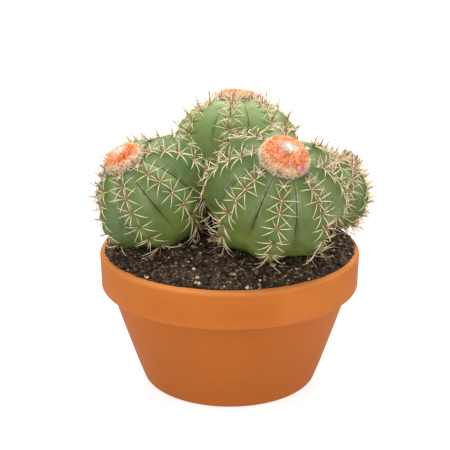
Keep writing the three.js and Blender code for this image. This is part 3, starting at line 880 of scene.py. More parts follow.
@dataclass(frozen=True)
class SoilHeap:
    """The heaped soil: its plain form, which spines and crumbs rest on, and its broken surface.

    The sizes from spill to hollow_width are millimetres, and so is the second of each pair of a
    lump's width and its rise. The pitches are radians a millimetre.
    """

    bowl: ClayBowl
    spill: float = 4.5
    front_spill: float = 0.5
    shoulder: float = 5.0
    crown: float = 7.0
    shoulder_power: int = 8
    crown_power: int = 2
    ripple: float = 0.7
    ripple_pitch: Range = (0.21, 0.23)
    fine_ripple: float = 0.35
    fine_pitch: Range = (0.47, 0.35)
    level_power: int = 6
    hollow_depth: float = 2.5
    hollow_x: float = -52.0
    hollow_y: float = -50.0
    hollow_width: float = 26.0
    lumps: tuple[Range, ...] = ((0.011, 1.1), (0.0045, 0.8))
    grains: Range = (0.0022, 0.9)
    fray: Range = (0.004, 0.012)
    fray_from: float = 0.985
    ease: float = 0.03
    play: float = 0.4 * MM
    top_radius: float = 0.086
    hub_share: float = 0.012
    sides: int = 300
    rings: int = 96

    def edge(self, bearing: Array) -> Array:
        """Radius that the soil reaches in a direction round the bowl.

        Args:
            bearing: Directions from the bowl's axis, in radians.

        Returns:
            One radius a direction.
        """
        front = np.maximum(0.0, -np.sin(bearing))
        spill = self.front_spill + (self.spill - self.front_spill) * (1.0 - front * front)
        return self.bowl.mouth_radius + spill * MM

    def height(self, x: Array, y: Array) -> Array:
        """Height of the plain heap.

        Args:
            x: Places seen from above, to the right.
            y: Places seen from above, to the rear.

        Returns:
            One height a place.
        """
        share = np.minimum(1.0, np.hypot(x, y) / self.edge(np.arctan2(y, x)))
        mm_x, mm_y = x / MM, y / MM
        heap = self.shoulder * (1.0 - share ** self.shoulder_power)
        heap = heap + self.crown * (1.0 - share ** self.crown_power)
        (pitch_x, pitch_y), (fine_x, fine_y) = self.ripple_pitch, self.fine_pitch
        ripple = self.ripple * np.sin(pitch_x * mm_x) * np.sin(pitch_y * mm_y)
        fine = self.fine_ripple * np.sin(fine_x * mm_x - fine_y * mm_y)
        apart = np.hypot(mm_x - self.hollow_x, mm_y - self.hollow_y) / self.hollow_width
        hollow = self.hollow_depth * np.exp(-apart * apart)
        inside = 1.0 - share ** self.level_power
        return self.bowl.height + GAP + (heap + (ripple + fine - hollow) * inside) * MM

    def outline(self) -> Outline:
        """Draw the section of the soil's body.

        Returns:
            Radius and height from the bowl's floor up its wall, then inwards over a flat top.
        """
        bowl = self.bowl
        wall, lip = bowl.mouth_radius - self.play, bowl.height + GAP
        body = [
            (bowl.wall_radius(bowl.floor) - bowl.wall - self.play, bowl.floor + GAP),
            (bowl.neck_radius - bowl.wall - self.play, bowl.height - bowl.rim_height),
            (wall, bowl.height - bowl.mouth_depth),
            (wall, lip),
        ]
        shares = np.linspace(1.0, self.hub_share, self.rings)
        return [*body, *[(self.top_radius * share, lip) for share in shares]]

    def build(self) -> None:
        """Raise the soil's body, then heap its top and break it up."""
        outline = self.outline()
        soil = raised_ring("potting_soil", outline, self.sides, pointed=True)
        points, lip = points_of(soil), self.bowl.height + GAP
        body_points = (len(outline) - self.rings) * self.sides
        upper = (points[:, 2] > lip - 1e-6) & (np.arange(len(points)) >= body_points)
        radius = np.hypot(points[:, 0], points[:, 1])
        reach = self.edge(np.arctan2(points[:, 1], points[:, 0]))
        share = np.minimum(1.0, radius / self.top_radius)
        spread = np.where(upper, share * reach / np.maximum(radius, 1e-9), 1.0)
        points[:, :2] *= spread[:, None]
        layers = enumerate(self.lumps, start=1)
        crumble = sum(rise * rough(points, width, float(layer)) for layer, (width, rise) in layers)
        crumble += self.grains[1] * np.abs(rough(points, self.grains[0], 3.0))
        ease = np.clip((1.0 - share) / self.ease, 0.0, 1.0)
        heap = self.height(points[:, 0], points[:, 1]) + crumble * MM * ease
        points[:, 2] = np.where(upper, np.maximum(heap, lip), points[:, 2])
        rim = upper & (share > self.fray_from)
        fray = 1.0 + self.fray[1] * rough(points, self.fray[0], 5.0)
        points[rim, :2] *= fray[rim, None]
        move_points(soil, points)
        soil.data.shade_smooth()
        finish = Compost("potting_soil", tint(24, 18, 12), tint(66, 49, 34), tint(118, 94, 68), 0.0)
        settle(soil, finish.material(), "potting_soil", "soil")


@dataclass(frozen=True)
class Cap:
    """Sizes of one plant's woolly, bristly cap."""

    radius: float
    height: float
    tufts: int
    fibres: int
    bare_at: Range = (0.0, 0.0)
    bare_stretch: float = 1.35
    bristle_reach: float = 1.6 * MM

    def off_bare(self, points: Array) -> Array:
        """Find how far points lie from the middle of the bare wool.

        Args:
            points: Rows of x, y and z in the cap's own frame.

        Returns:
            Shares of the cap's radius.
        """
        across = points[:, 0] - self.bare_at[0]
        along = self.bare_stretch * (points[:, 1] - self.bare_at[1])
        return np.hypot(across, along) / self.radius


@dataclass(frozen=True)
class RibForm:
    """Cross-section of a rib: a blunt wedge high on the plant, a rounder swelling low on it."""

    depth: float = 0.28
    blunt: float = 0.008
    wedge_reach: float = 0.915
    wedge_share: float = 0.78
    wedge_power: float = 1.1
    crease_share: float = 0.22
    crease_power: int = 9
    soft_share: float = 0.88
    soft_power: float = 1.5
    soft_from: float = 70.0
    soft_over: float = 40.0
    fade_from: float = 80.0
    fade_to: float = 145.0
    fade: float = 0.7

    def drop(self, polar: Array, across: Array) -> Array:
        """Find how far the skin lies below the ribs' crests.

        Args:
            polar: Angles from the plant's axis, in radians.
            across: How far across a rib, from 0 on its crest to 1 in the crease.

        Returns:
            Shares of the plant's radius.
        """
        angle = np.degrees(polar)
        fading = (angle - self.fade_from) / (self.fade_to - self.fade_from)
        depth = self.depth * (1.0 - self.fade * np.clip(fading, 0.0, 1.0))
        wedge = (np.sqrt(across ** 2 + self.blunt) - math.sqrt(self.blunt)) / self.wedge_reach
        sharp = self.wedge_share * wedge ** self.wedge_power
        sharp = sharp + self.crease_share * across ** self.crease_power
        soft = self.soft_share * (1.0 - np.maximum(0.0, 1.0 - wedge) ** self.soft_power)
        low = np.clip((angle - self.soft_from) / self.soft_over, 0.0, 1.0)
        return depth * (sharp + (soft - sharp) * low)


@dataclass(frozen=True)
class Plant:
    """One ribbed plant: where it stands, how it leans and how its skin runs.

    The waver's pairs are the width of a swelling and its rise in millimetres.
    """

    name: str
    centre: Place
    radius: float
    top: float
    bottom: float
    lean_x: float
    lean_y: float
    turn: float
    seat: float
    areoles: tuple[float, ...]
    stagger: tuple[float, ...]
    skin: CactusSkin
    seed: int
    slot: str = "cactus_skin"
    cap: Cap | None = None
    cap_shift: Range = (0.0, 0.0)
    seat_tilt: Range = (0.0, 0.0)
    seat_round: float = 0.9 * MM
    seat_drop: float = 0.4 * MM
    sunk: tuple[float, ...] = (0.0,) * 8
    ribs: int = 8
    rib: RibForm = RibForm()
    swell: float = 2.8 * MM
    swell_middle: float = 0.66
    swell_width: float = 0.3
    swell_power: float = 0.8
    groove: float = 0.2 * MM
    groove_width: float = 0.02
    groove_end: float = 108.0
    groove_fade: float = 30.0
    waver: tuple[Range, ...] = ((0.03, 0.5), (0.012, 0.25))
    bushy: bool = False
    lines_a_rib: int = 30
    crowding: float = 1.6
    rows: int = 118

    def turning(self) -> Array:
        """Find the plant's own directions.

        Returns:
            The sideways, rearward and upward ones, as columns.
        """
        x, y = math.sin(math.radians(self.lean_x)), math.sin(math.radians(self.lean_y))
        axis = np.array([x, y, math.sqrt(1.0 - x * x - y * y)])
        side = unit(np.cross([0.0, 1.0, 0.0], axis))
        return np.column_stack([side, np.cross(axis, side), axis])

    def placed(self, local: Array) -> Array:
        """Bring points from the plant's own frame to the bowl's."""
        return local @ self.turning().T + np.array(self.centre)

    def unplaced(self, points: Array) -> Array:
        """Bring points from the bowl's frame to the plant's own."""
        return (points - np.array(self.centre)) @ self.turning()

    def rib_at(self, azimuth: Array) -> tuple[Array, Array]:
        """Find the rib in a direction.

        Args:
            azimuth: Directions round the plant's axis, in radians.

        Returns:
            The rib's number, and how far across it the direction lies: 0 on its crest, 1 in the
            crease.
        """
        ribs = (azimuth - math.radians(self.turn)) * self.ribs / FULL_TURN
        nearest = np.round(ribs)
        return nearest.astype(int) % self.ribs, 2.0 * np.abs(ribs - nearest)

    def areole_polar(self, order: int, rib: int) -> float:
        """Find one areole's angle from the axis.

        Args:
            order: Its number along its rib, from the crown.
            rib: The rib's number.

        Returns:
            The angle, between those of its neighbours by the rib's stagger.
        """
        at = order + self.stagger[rib]
        low = max(0, min(len(self.areoles) - 2, math.floor(at)))
        return self.areoles[low] + (at - low) * (self.areoles[low + 1] - self.areoles[low])

    def hump(self, polar: Array, rib: Array) -> Array:
        """Find how a rib's crest swells between its areoles.

        Args:
            polar: Angles from the plant's axis, in radians.
            rib: The ribs' numbers.

        Returns:
            Numbers from 0 at an areole to 1 halfway between two.
        """
        rows = np.radians(np.array(self.areoles))
        first = 2.0 * rows[0] - rows[1]
        last = 2.0 * rows[-1] - rows[-2]
        steps = np.arange(-1.0, len(rows) + 1.0)
        order = np.interp(polar, [first, *rows, last], steps) - np.array(self.stagger)[rib]
        return np.abs(np.sin(np.pi * order)) ** self.swell_power

    def shape(self, polar: Array, rib: Array, across: Array) -> Array:
        """Share of the full radius that the skin reaches, at an angle and a place across a rib."""
        sunk = np.array(self.sunk)[rib] * (1.0 - across ** 2) ** 2
        return 1.0 - self.rib.drop(polar, across) - sunk

    def skin_points(self, polar: Array, azimuth: Array) -> Array:
        """Find points of the skin.

        Args:
            polar: Angles from the plant's axis, in radians.
            azimuth: Directions round it, in radians.

        Returns:
            Rows of x, y and z in the plant's own frame.
        """
        rib, across = self.rib_at(azimuth)
        crest = np.exp(-((across / self.swell_width) ** 2)) * np.sin(polar)
        swell = self.swell * (self.hump(polar, rib) - self.swell_middle) * crest
        opening = np.clip((self.groove_end - np.degrees(polar)) / self.groove_fade, 0.0, 1.0)
        line = np.exp(-(((1.0 - across) / self.groove_width) ** 2)) * np.sin(polar)
        radius = self.radius * np.sin(polar) * self.shape(polar, rib, across)
        radius = radius + swell - self.groove * opening * line
        x, y = radius * np.cos(azimuth), radius * np.sin(azimuth)
        rise = np.where(polar < math.pi / 2.0, self.top, self.bottom) * np.cos(polar)
        inside = (self.areoles[0] - np.degrees(polar)) / (self.areoles[0] - self.seat)
        slope = self.seat_tilt[0] * x + self.seat_tilt[1] * y
        return np.column_stack([x, y, rise + slope * np.clip(inside, 0.0, 1.0)])

    def depth_of(self, points: Array) -> Array:
        """Find how far points are from the skin, roughly.

        Args:
            points: Rows of x, y and z in the bowl's frame.

        Returns:
            One distance a point, negative inside.
        """
        local = self.unplaced(points)
        reach = np.where(local[:, 2] > 0.0, self.top, self.bottom)
        spread = np.hypot(local[:, 0], local[:, 1])
        polar = np.arctan2(spread / self.radius, local[:, 2] / reach)
        rib, across = self.rib_at(np.arctan2(local[:, 1], local[:, 0]))
        radius = self.radius * self.shape(polar, rib, across)
        level = np.hypot(spread / radius, local[:, 2] / reach)
        return (level - 1.0) * np.linalg.norm(local, axis=1) / np.maximum(level, 0.01)

    def cap_frame(self) -> tuple[Array, Array]:
        """Find how the cap sits.

        Returns:
            Its own directions as columns, and its foot, both in the plant's frame.
        """
        axis = unit(np.array([-self.seat_tilt[0], -self.seat_tilt[1], 1.0]))
        rise = self.top * math.cos(math.radians(self.seat)) + np.dot(self.seat_tilt, self.cap_shift)
        return turn_to(axis), np.array([*self.cap_shift, rise]) + GAP * axis

    def cap_placed(self, local: Array) -> Array:
        """Bring points from the cap's own frame to the bowl's."""
        rest, foot = self.cap_frame()
        return self.placed(local @ rest.T + foot)

    def cap_depth_of(self, points: Array) -> Array:
        """Find how far points are from the cap with its bristles, roughly.

        Args:
            points: Rows of x, y and z in the bowl's frame.

        Returns:
            One distance a point, negative inside, and infinite where the plant has no cap.
        """
        if self.cap is None:
            return np.full(len(points), np.inf)
        rest, foot = self.cap_frame()
        local = (self.unplaced(points) - foot) @ rest
        outer = self.cap.radius + self.cap.bristle_reach
        tall = self.cap.height + self.cap.bristle_reach
        spread = np.hypot(local[:, 0], local[:, 1])
        level = np.hypot(spread / outer, np.maximum(0.0, local[:, 2]) / tall)
        below = np.hypot(np.maximum(0.0, spread - self.cap.radius), local[:, 2] + MM)
        return np.where(local[:, 2] < -MM, below, (level - 1.0) * min(outer, tall))

    def build_body(self) -> None:
        """Shape the ribbed body from a ball, with its lines crowded towards crests and creases."""
        deselect_all()
        bpy.ops.mesh.primitive_uv_sphere_add(
            segments=self.ribs * self.lines_a_rib, ring_count=self.rows, radius=1.0
        )
        body = named(f"{self.name}_body")
        points = points_of(body)
        polar = np.arccos(np.clip(points[:, 2], -1.0, 1.0))
        ribs = np.arctan2(points[:, 1], points[:, 0]) * self.ribs / FULL_TURN
        off = 2.0 * (ribs - np.round(ribs))
        warped = np.sign(off) * (1.0 - (1.0 - np.abs(off)) ** self.crowding)
        azimuth = (np.round(ribs) + warped / 2.0) * FULL_TURN / self.ribs + math.radians(self.turn)
        local = self.skin_points(polar, azimuth)
        if self.cap is not None:
            local = self.seated(local)
        waver = sum(
            rise * rough(local, width, self.seed + 3.0 * layer)
            for layer, (width, rise) in enumerate(self.waver)
        )
        local *= (1.0 + waver * MM / np.maximum(np.linalg.norm(local, axis=1), 0.01))[:, None]
        move_points(body, self.placed(local))
        mark_points(body, "across", self.rib_at(azimuth)[1])
        mark_points(body, "polar", polar / math.pi)
        body.data.shade_smooth()
        settle(body, self.skin.material(), self.slot, self.name)

    def seated(self, local: Array) -> Array:
        """Flatten the crown softly to the plane that the cap sits on.

        Args:
            local: The body's points in the plant's own frame.

        Returns:
            The same points, with those above the plane brought down to it.
        """
        rest, foot = self.cap_frame()
        seat = (local - foot) @ rest
        soft = self.seat_round
        seat[:, 2] = -soft * np.logaddexp(-seat[:, 2] / soft, -self.seat_drop / soft)
        return seat @ rest.T + foot


class SpineAge(Enum):
    """Which part of a plant an areole belongs to."""

    CROWN = "crown"
    GROWN = "grown"
    OLD = "old"


@dataclass(frozen=True)
class AreoleForm:
    """What an areole of one age carries: how long its spines are, and how its wool lies."""

    spine_size: float
    pad: float
    white: float
    fibres: int
    spread: float
    fibre_radius: float


@dataclass(frozen=True)
class SpinePlace:
    """One place in an areole's star: bearing from the crown, rise off the skin, and size."""

    bearing: float
    rise: float
    tip_rise: float
    length: float
    radius: float

    def both_sides(self) -> tuple["SpinePlace", "SpinePlace"]:
        """This place and the one that mirrors it."""
        return self, replace(self, bearing=-self.bearing)


AREOLE_FORMS = {
    SpineAge.CROWN: AreoleForm(0.86, 1.35 * MM, 0.85, 56, 75.0, 0.16 * MM),
    SpineAge.GROWN: AreoleForm(1.0, 1.05 * MM, 0.35, 10, 180.0, 0.12 * MM),
    SpineAge.OLD: AreoleForm(1.32, 0.9 * MM, 0.35, 10, 180.0, 0.12 * MM),
}
RADIALS = (
    *SpinePlace(36.0, 46.0, 24.0, 0.0118, 0.00034).both_sides(),
    *SpinePlace(80.0, 42.0, -14.0, 0.0122, 0.00038).both_sides(),
    *SpinePlace(126.0, 38.0, -26.0, 0.0124, 0.0004).both_sides(),
    SpinePlace(180.0, 34.0, -24.0, 0.0114, 0.0004),
)
BUSHY_RADIALS = (
    *RADIALS,
    SpinePlace(16.0, 62.0, 52.0, 0.0112, 0.00036),
    SpinePlace(-62.0, 60.0, 34.0, 0.0110, 0.00036),
    SpinePlace(104.0, 58.0, 22.0, 0.0108, 0.00036),
    SpinePlace(-152.0, 54.0, 8.0, 0.0106, 0.00036),
)
CENTRALS = (
    SpinePlace(4.0, 62.0, 76.0, 0.0124, 0.00042),
    SpinePlace(-20.0, 56.0, 48.0, 0.0084, 0.00034),
)
CROWN_RADIALS = (
    *SpinePlace(38.0, 58.0, 40.0, 0.0086, 0.00034).both_sides(),
    *SpinePlace(142.0, 46.0, 8.0, 0.0072, 0.00032).both_sides(),
    *SpinePlace(-84.0, 48.0, 8.0, 0.0076, 0.00034).both_sides(),
)
CROWN_CENTRALS = (
    SpinePlace(4.0, 62.0, 78.0, 0.0104, 0.00046),
    SpinePlace(-30.0, 60.0, 70.0, 0.0078, 0.00038),
)
TIP_PALE = SpinePlace(0.0, 62.0, 76.0, 0.0072, 0.00036)
TIP_BROWN = SpinePlace(0.0, 62.0, 76.0, 0.0086, 0.00036)
# Turns and lifts that a spine tries, one after another, until it is clear.
SPINE_BENDS = ((0.0, 0.0), (0.0, 14.0), (22.0, 10.0), (-22.0, 10.0), (0.0, 30.0), (38.0, 24.0),
               (-38.0, 24.0), (0.0, 46.0), (24.0, 58.0), (-24.0, 58.0), (0.0, 76.0))


@dataclass
class Hair:
    """The curved line of one spine, bristle or fibre."""

    foot: Array
    heading: Array
    normal: Array
    start: float
    end: float
    length: float
    radius: float

    def line(self, shares: Array) -> tuple[Array, Array]:
        """Points and directions along the hair.

        Args:
            shares: Shares of its length, from 0 at the root to 1 at the tip.

        Returns:
            The points and the unit directions there, one row a share.
        """
        turn = math.radians(self.end - self.start)
        turn = turn if abs(turn) > 1e-3 else 1e-3
        first = math.radians(self.start)
        angle = first + turn * shares
        out = (np.sin(angle) - math.sin(first)) / turn * self.length
        up = (math.cos(first) - np.cos(angle)) / turn * self.length
        places = self.foot + np.outer(out, self.heading) + np.outer(up, self.normal)
        ways = np.outer(np.cos(angle), self.heading) + np.outer(np.sin(angle), self.normal)
        return places, ways

    def bent(self, pattern: Pattern) -> Array:
        """Bend a straight unit pattern along the hair's line.

        Args:
            pattern: The pattern, with its root at the origin and its tip at 1 on the Z axis.

        Returns:
            The pattern's points in place.
        """
        places, ways = self.line(pattern.points[:, 2])
        across = np.cross(self.heading, self.normal)
        upward = np.cross(ways, across)
        x, y = pattern.points[:, 0:1] * self.radius, pattern.points[:, 1:2] * self.radius
        return places + x * across + y * upward


@dataclass(frozen=True)
class Areole:
    """Where one cluster sits: its place, the skin's normal, and the ways to the crown and round."""

    place: Array
    normal: Array
    crownward: Array
    side: Array
    age: SpineAge

    def heading(self, bearing: float) -> Array:
        """Direction along the skin at a bearing from the way to the crown."""
        way = math.radians(bearing)
        return self.crownward * math.cos(way) + self.side * math.sin(way)


def rough_stone(name: str, level: int, seed: int) -> Pattern:
    """Shape one rough lump of unit size.

    Args:
        name: What the lump is called while it is shaped.
        level: How finely its ball is divided.
        seed: Which lump it becomes.

    Returns:
        The lump's shape.
    """
    lump_size, lump_rise, squash = 1.1, 0.45, np.array([1.0, 0.8, 0.65])
    deselect_all()
    bpy.ops.mesh.primitive_ico_sphere_add(subdivisions=level, radius=1.0)
    lump = named(name)
    points = points_of(lump)
    points *= (1.0 + lump_rise * rough(points, lump_size, seed))[:, None]
    move_points(lump, points * squash)
    return Pattern.taken_from(lump)


class HairShapes:
    """The small unit shapes that spines, bristles, fibres and pads are copied from."""

    def __init__(self) -> None:
        """Model the shapes, each from its root at the origin to its tip at 1 on the Z axis."""
        spine = [(1.0, 0.0), (1.0, 0.12), (0.9, 0.3), (0.74, 0.5), (0.54, 0.7), (0.3, 0.88), (0.1, 1.0)]
        bristle = [(1.0, 0.0), (0.85, 0.5), (0.2, 1.0)]
        fibre = [(1.0, 0.0), (0.8, 0.4), (0.55, 0.75), (0.2, 1.0)]
        self.spine = Pattern.taken_from(raised_ring("unit_spine", spine, 5, pointed=True))
        self.bristle = Pattern.taken_from(raised_ring("unit_bristle", bristle, 3, pointed=True))
        self.fibre = Pattern.taken_from(raised_ring("unit_fibre", fibre, 3, pointed=True))
        self.pad = rough_stone("unit_pad", 2, 30)


@dataclass(frozen=True)
class SpineCoat:
    """All areoles of one plant, with their wool and their spines.

    A name that ends in _draw is the range of a random draw.
    """

    plant: Plant
    garden: list[Plant]
    soil: SoilHeap
    shapes: HairShapes
    probe: float = 1.5
    least_polar: float = 0.2
    collar_end: float = 6.0
    collar_rise: float = 1.2
    old_from: float = 100.0
    checked: tuple[float, ...] = (0.3, 0.5, 0.7, 0.85, 1.0)
    margin: float = 0.3 * MM
    own_margin: float = 0.2 * MM
    soil_margin: float = 0.4 * MM
    rim_margin: float = 2.0 * MM
    set_in: float = 0.5 * MM
    length_draw: Range = (0.86, 1.12)
    bearing_draw: Range = (-8.0, 8.0)
    rise_draw: Range = (-7.0, 7.0)
    tip_draw: Range = (-12.0, 12.0)
    radius_draw: Range = (0.88, 1.1)
    tone_draw: Range = (0.0, 0.4)
    pad_form: Place = (0.7, 1.1, 0.5)
    fibre_foot_draw: Range = (0.0, 0.8)
    fibre_rise_draw: Range = (30.0, 80.0)
    fibre_tip_draw: Range = (-30.0, 60.0)
    fibre_length_draw: Range = (0.8, 1.5)
    tip_areoles: int = 14
    tip_spines: int = 8
    tip_from: float = 1.5
    tip_over: float = 9.0

    def areole(self, polar: float, azimuth: float, age: SpineAge) -> Areole:
        """Find where an areole sits.

        Args:
            polar: Its angle from the plant's axis.
            azimuth: Its direction round the axis, in radians.
            age: Which part of the plant it is in.

        Returns:
            The areole, in the bowl's frame.
        """
        turning = self.plant.turning()
        above = max(self.least_polar, polar - self.probe)
        here = np.radians([polar, above, polar + self.probe])
        local = self.plant.skin_points(here, np.full(3, azimuth))
        crownward, side = unit(local[1] - local[2]), level_ways(azimuth)[1]
        return Areole(self.plant.placed(local[:1])[0], turning @ np.cross(side, crownward),
                      turning @ crownward, turning @ side, age)

    def areoles(self) -> list[Areole]:
        """List the plant's areoles, with the young ones pressed against its cap.

        Returns:
            The areoles, rib by rib and from the crown down.
        """
        plant = self.plant
        collar = 0.0 if plant.cap is None else plant.seat + self.collar_end
        found = []
        for rib in range(plant.ribs):
            azimuth = math.radians(plant.turn) + rib * FULL_TURN / plant.ribs
            polars = [plant.areole_polar(order, rib) for order in range(len(plant.areoles))]
            if 0.0 < collar < polars[0]:
                polars.insert(0, plant.seat + self.collar_rise)
            for polar in polars:
                age = SpineAge.OLD if polar > self.old_from else SpineAge.GROWN
                age = SpineAge.CROWN if polar < collar else age
                found.append(self.areole(polar, azimuth, age))
        return found

    def is_clear(self, spine: Hair) -> bool:
        """Tell whether a spine stays out of every plant, cap and the soil.

        Args:
            spine: The spine.

        Returns:
            True where it is clear, apart from its root.
        """
        points, _ = spine.line(np.array(self.checked))
        margin = spine.radius + self.margin
        for plant in self.garden:
            own = plant is self.plant
            if (plant.depth_of(points) < (self.own_margin if own else margin)).any():
                return False
            cap_margin = -plant.cap.bristle_reach if own and plant.cap else margin
            if (plant.cap_depth_of(points) < cap_margin).any():
                return False
        outermost = self.soil.bowl.rim_radius + self.rim_margin
        over_bowl = np.hypot(points[:, 0], points[:, 1]) < outermost
        ground = self.soil.height(points[:, 0], points[:, 1]) + self.soil_margin
        return not (over_bowl & (points[:, 2] < ground)).any()

    def grow(self, gathering: Gathering, areole: Areole, place: SpinePlace, draw: Draw) -> None:
        """Grow one spine, bent clear of what it would cross, or none where none fits.

        Args:
            gathering: The gathering that takes it.
            areole: The areole that it grows from.
            place: The spine's place in the star.
            draw: The plant's own random draws.
        """
        shape = self.shapes.spine
        size = AREOLE_FORMS[areole.age].spine_size
        length = place.length * size * draw.uniform(*self.length_draw)
        bearing = place.bearing + draw.uniform(*self.bearing_draw)
        rise = place.rise + draw.uniform(*self.rise_draw)
        tip_rise = place.tip_rise + draw.uniform(*self.tip_draw)
        radius = place.radius * draw.uniform(*self.radius_draw)
        for turn, lift in SPINE_BENDS:
            heading = areole.heading(bearing + turn)
            root = areole.place + (heading - areole.normal) * self.set_in
            spine = Hair(root, heading, areole.normal, rise + lift / 2.0, tip_rise + lift, length,
                         radius)
            if self.is_clear(spine):
                gathering.add(shape, spine.bent(shape), along=shape.points[:, 2],
                              tone=draw.uniform(*self.tone_draw))
                return

    def build(self) -> None:
        """Set every areole's pad of wool and its spines."""
        plant = self.plant
        draw = np.random.default_rng(plant.seed)
        pale = Gathering(f"{plant.name}_radial_spines")
        brown = Gathering(f"{plant.name}_central_spines")
        wool = Gathering(f"{plant.name}_areole_wool")
        grown_stars = (BUSHY_RADIALS if plant.bushy else RADIALS, CENTRALS)
        crown_stars = (CROWN_RADIALS, CROWN_CENTRALS)
        for areole in self.areoles():
            self.set_pad(wool, areole, draw)
            stars = crown_stars if areole.age is SpineAge.CROWN else grown_stars
            for gathering, star in zip((pale, brown), stars):
                for place in star:
                    self.grow(gathering, areole, place, draw)
        if plant.cap is None:
            self.set_growing_tip(wool, pale, brown, draw)
        settle(pale.build(), FINISHES["pale_spine"], plant.slot)
        settle(brown.build(), FINISHES["brown_spine"], plant.slot)
        settle(wool.build(), FINISHES["areole_wool"], plant.slot)

    def set_pad(self, wool: Gathering, areole: Areole, draw: Draw) -> None:
        """Set one areole's pad of wool and its loose fibres.

        Args:
            wool: The gathering that takes them.
            areole: The areole.
            draw: The plant's own random draws.
        """
        form, pad, shape = AREOLE_FORMS[areole.age], self.shapes.pad, self.shapes.fibre
        ways = np.array([areole.side, areole.crownward, areole.normal])
        points = (pad.points * form.pad * np.array(self.pad_form)) @ ways
        wool.add(pad, areole.place + points, white=form.white)
        for _ in range(form.fibres):
            heading = areole.heading(draw.normal(0.0, form.spread))
            foot = areole.place + heading * form.pad * draw.uniform(*self.fibre_foot_draw)
            fibre = Hair(foot, heading, areole.normal, draw.uniform(*self.fibre_rise_draw),
                         draw.uniform(*self.fibre_tip_draw),
                         form.pad * draw.uniform(*self.fibre_length_draw), form.fibre_radius)
            wool.add(shape, fibre.bent(shape), white=form.white)

    def set_growing_tip(self, wool: Gathering, pale: Gathering, brown: Gathering,
                        draw: Draw) -> None:
        """Crowd small young areoles and spines round the tip of a plant without a cap.

        Args:
            wool: The gathering that takes the wool.
            pale: The gathering that takes the pale young spines.
            brown: The gathering that takes the brown young spines.
            draw: The plant's own random draws.
        """
        for order in range(self.tip_areoles):
            polar = self.tip_from + self.tip_over * math.sqrt(order / (self.tip_areoles - 1))
            areole = self.areole(polar, order * GOLDEN_TURN, SpineAge.GROWN)
            self.set_pad(wool, areole, draw)
            for turn in range(self.tip_spines):
                gathering, place = (brown, TIP_BROWN) if turn % 2 else (pale, TIP_PALE)
                place = replace(place, bearing=turn * 360.0 / self.tip_spines)
                self.grow(gathering, areole, place, draw)


@dataclass(frozen=True)
class FibreZone:
    """Where on a dome one kind of loose wool lies, as shares of its area from the edge up.

    A span of 0 spreads the wool over the whole dome. The longest fibre is in millimetres.
    """

    start: float
    span: float
    lean: float
    white: float
    longest: float


FIBRE_ZONES = (
    FibreZone(start=1.0, span=-0.055, lean=0.3, white=1.0, longest=2.2),
    FibreZone(start=0.0, span=0.3, lean=0.9, white=0.75, longest=3.4),
    FibreZone(start=0.0, span=0.0, lean=0.8, white=0.5, longest=2.4),
)


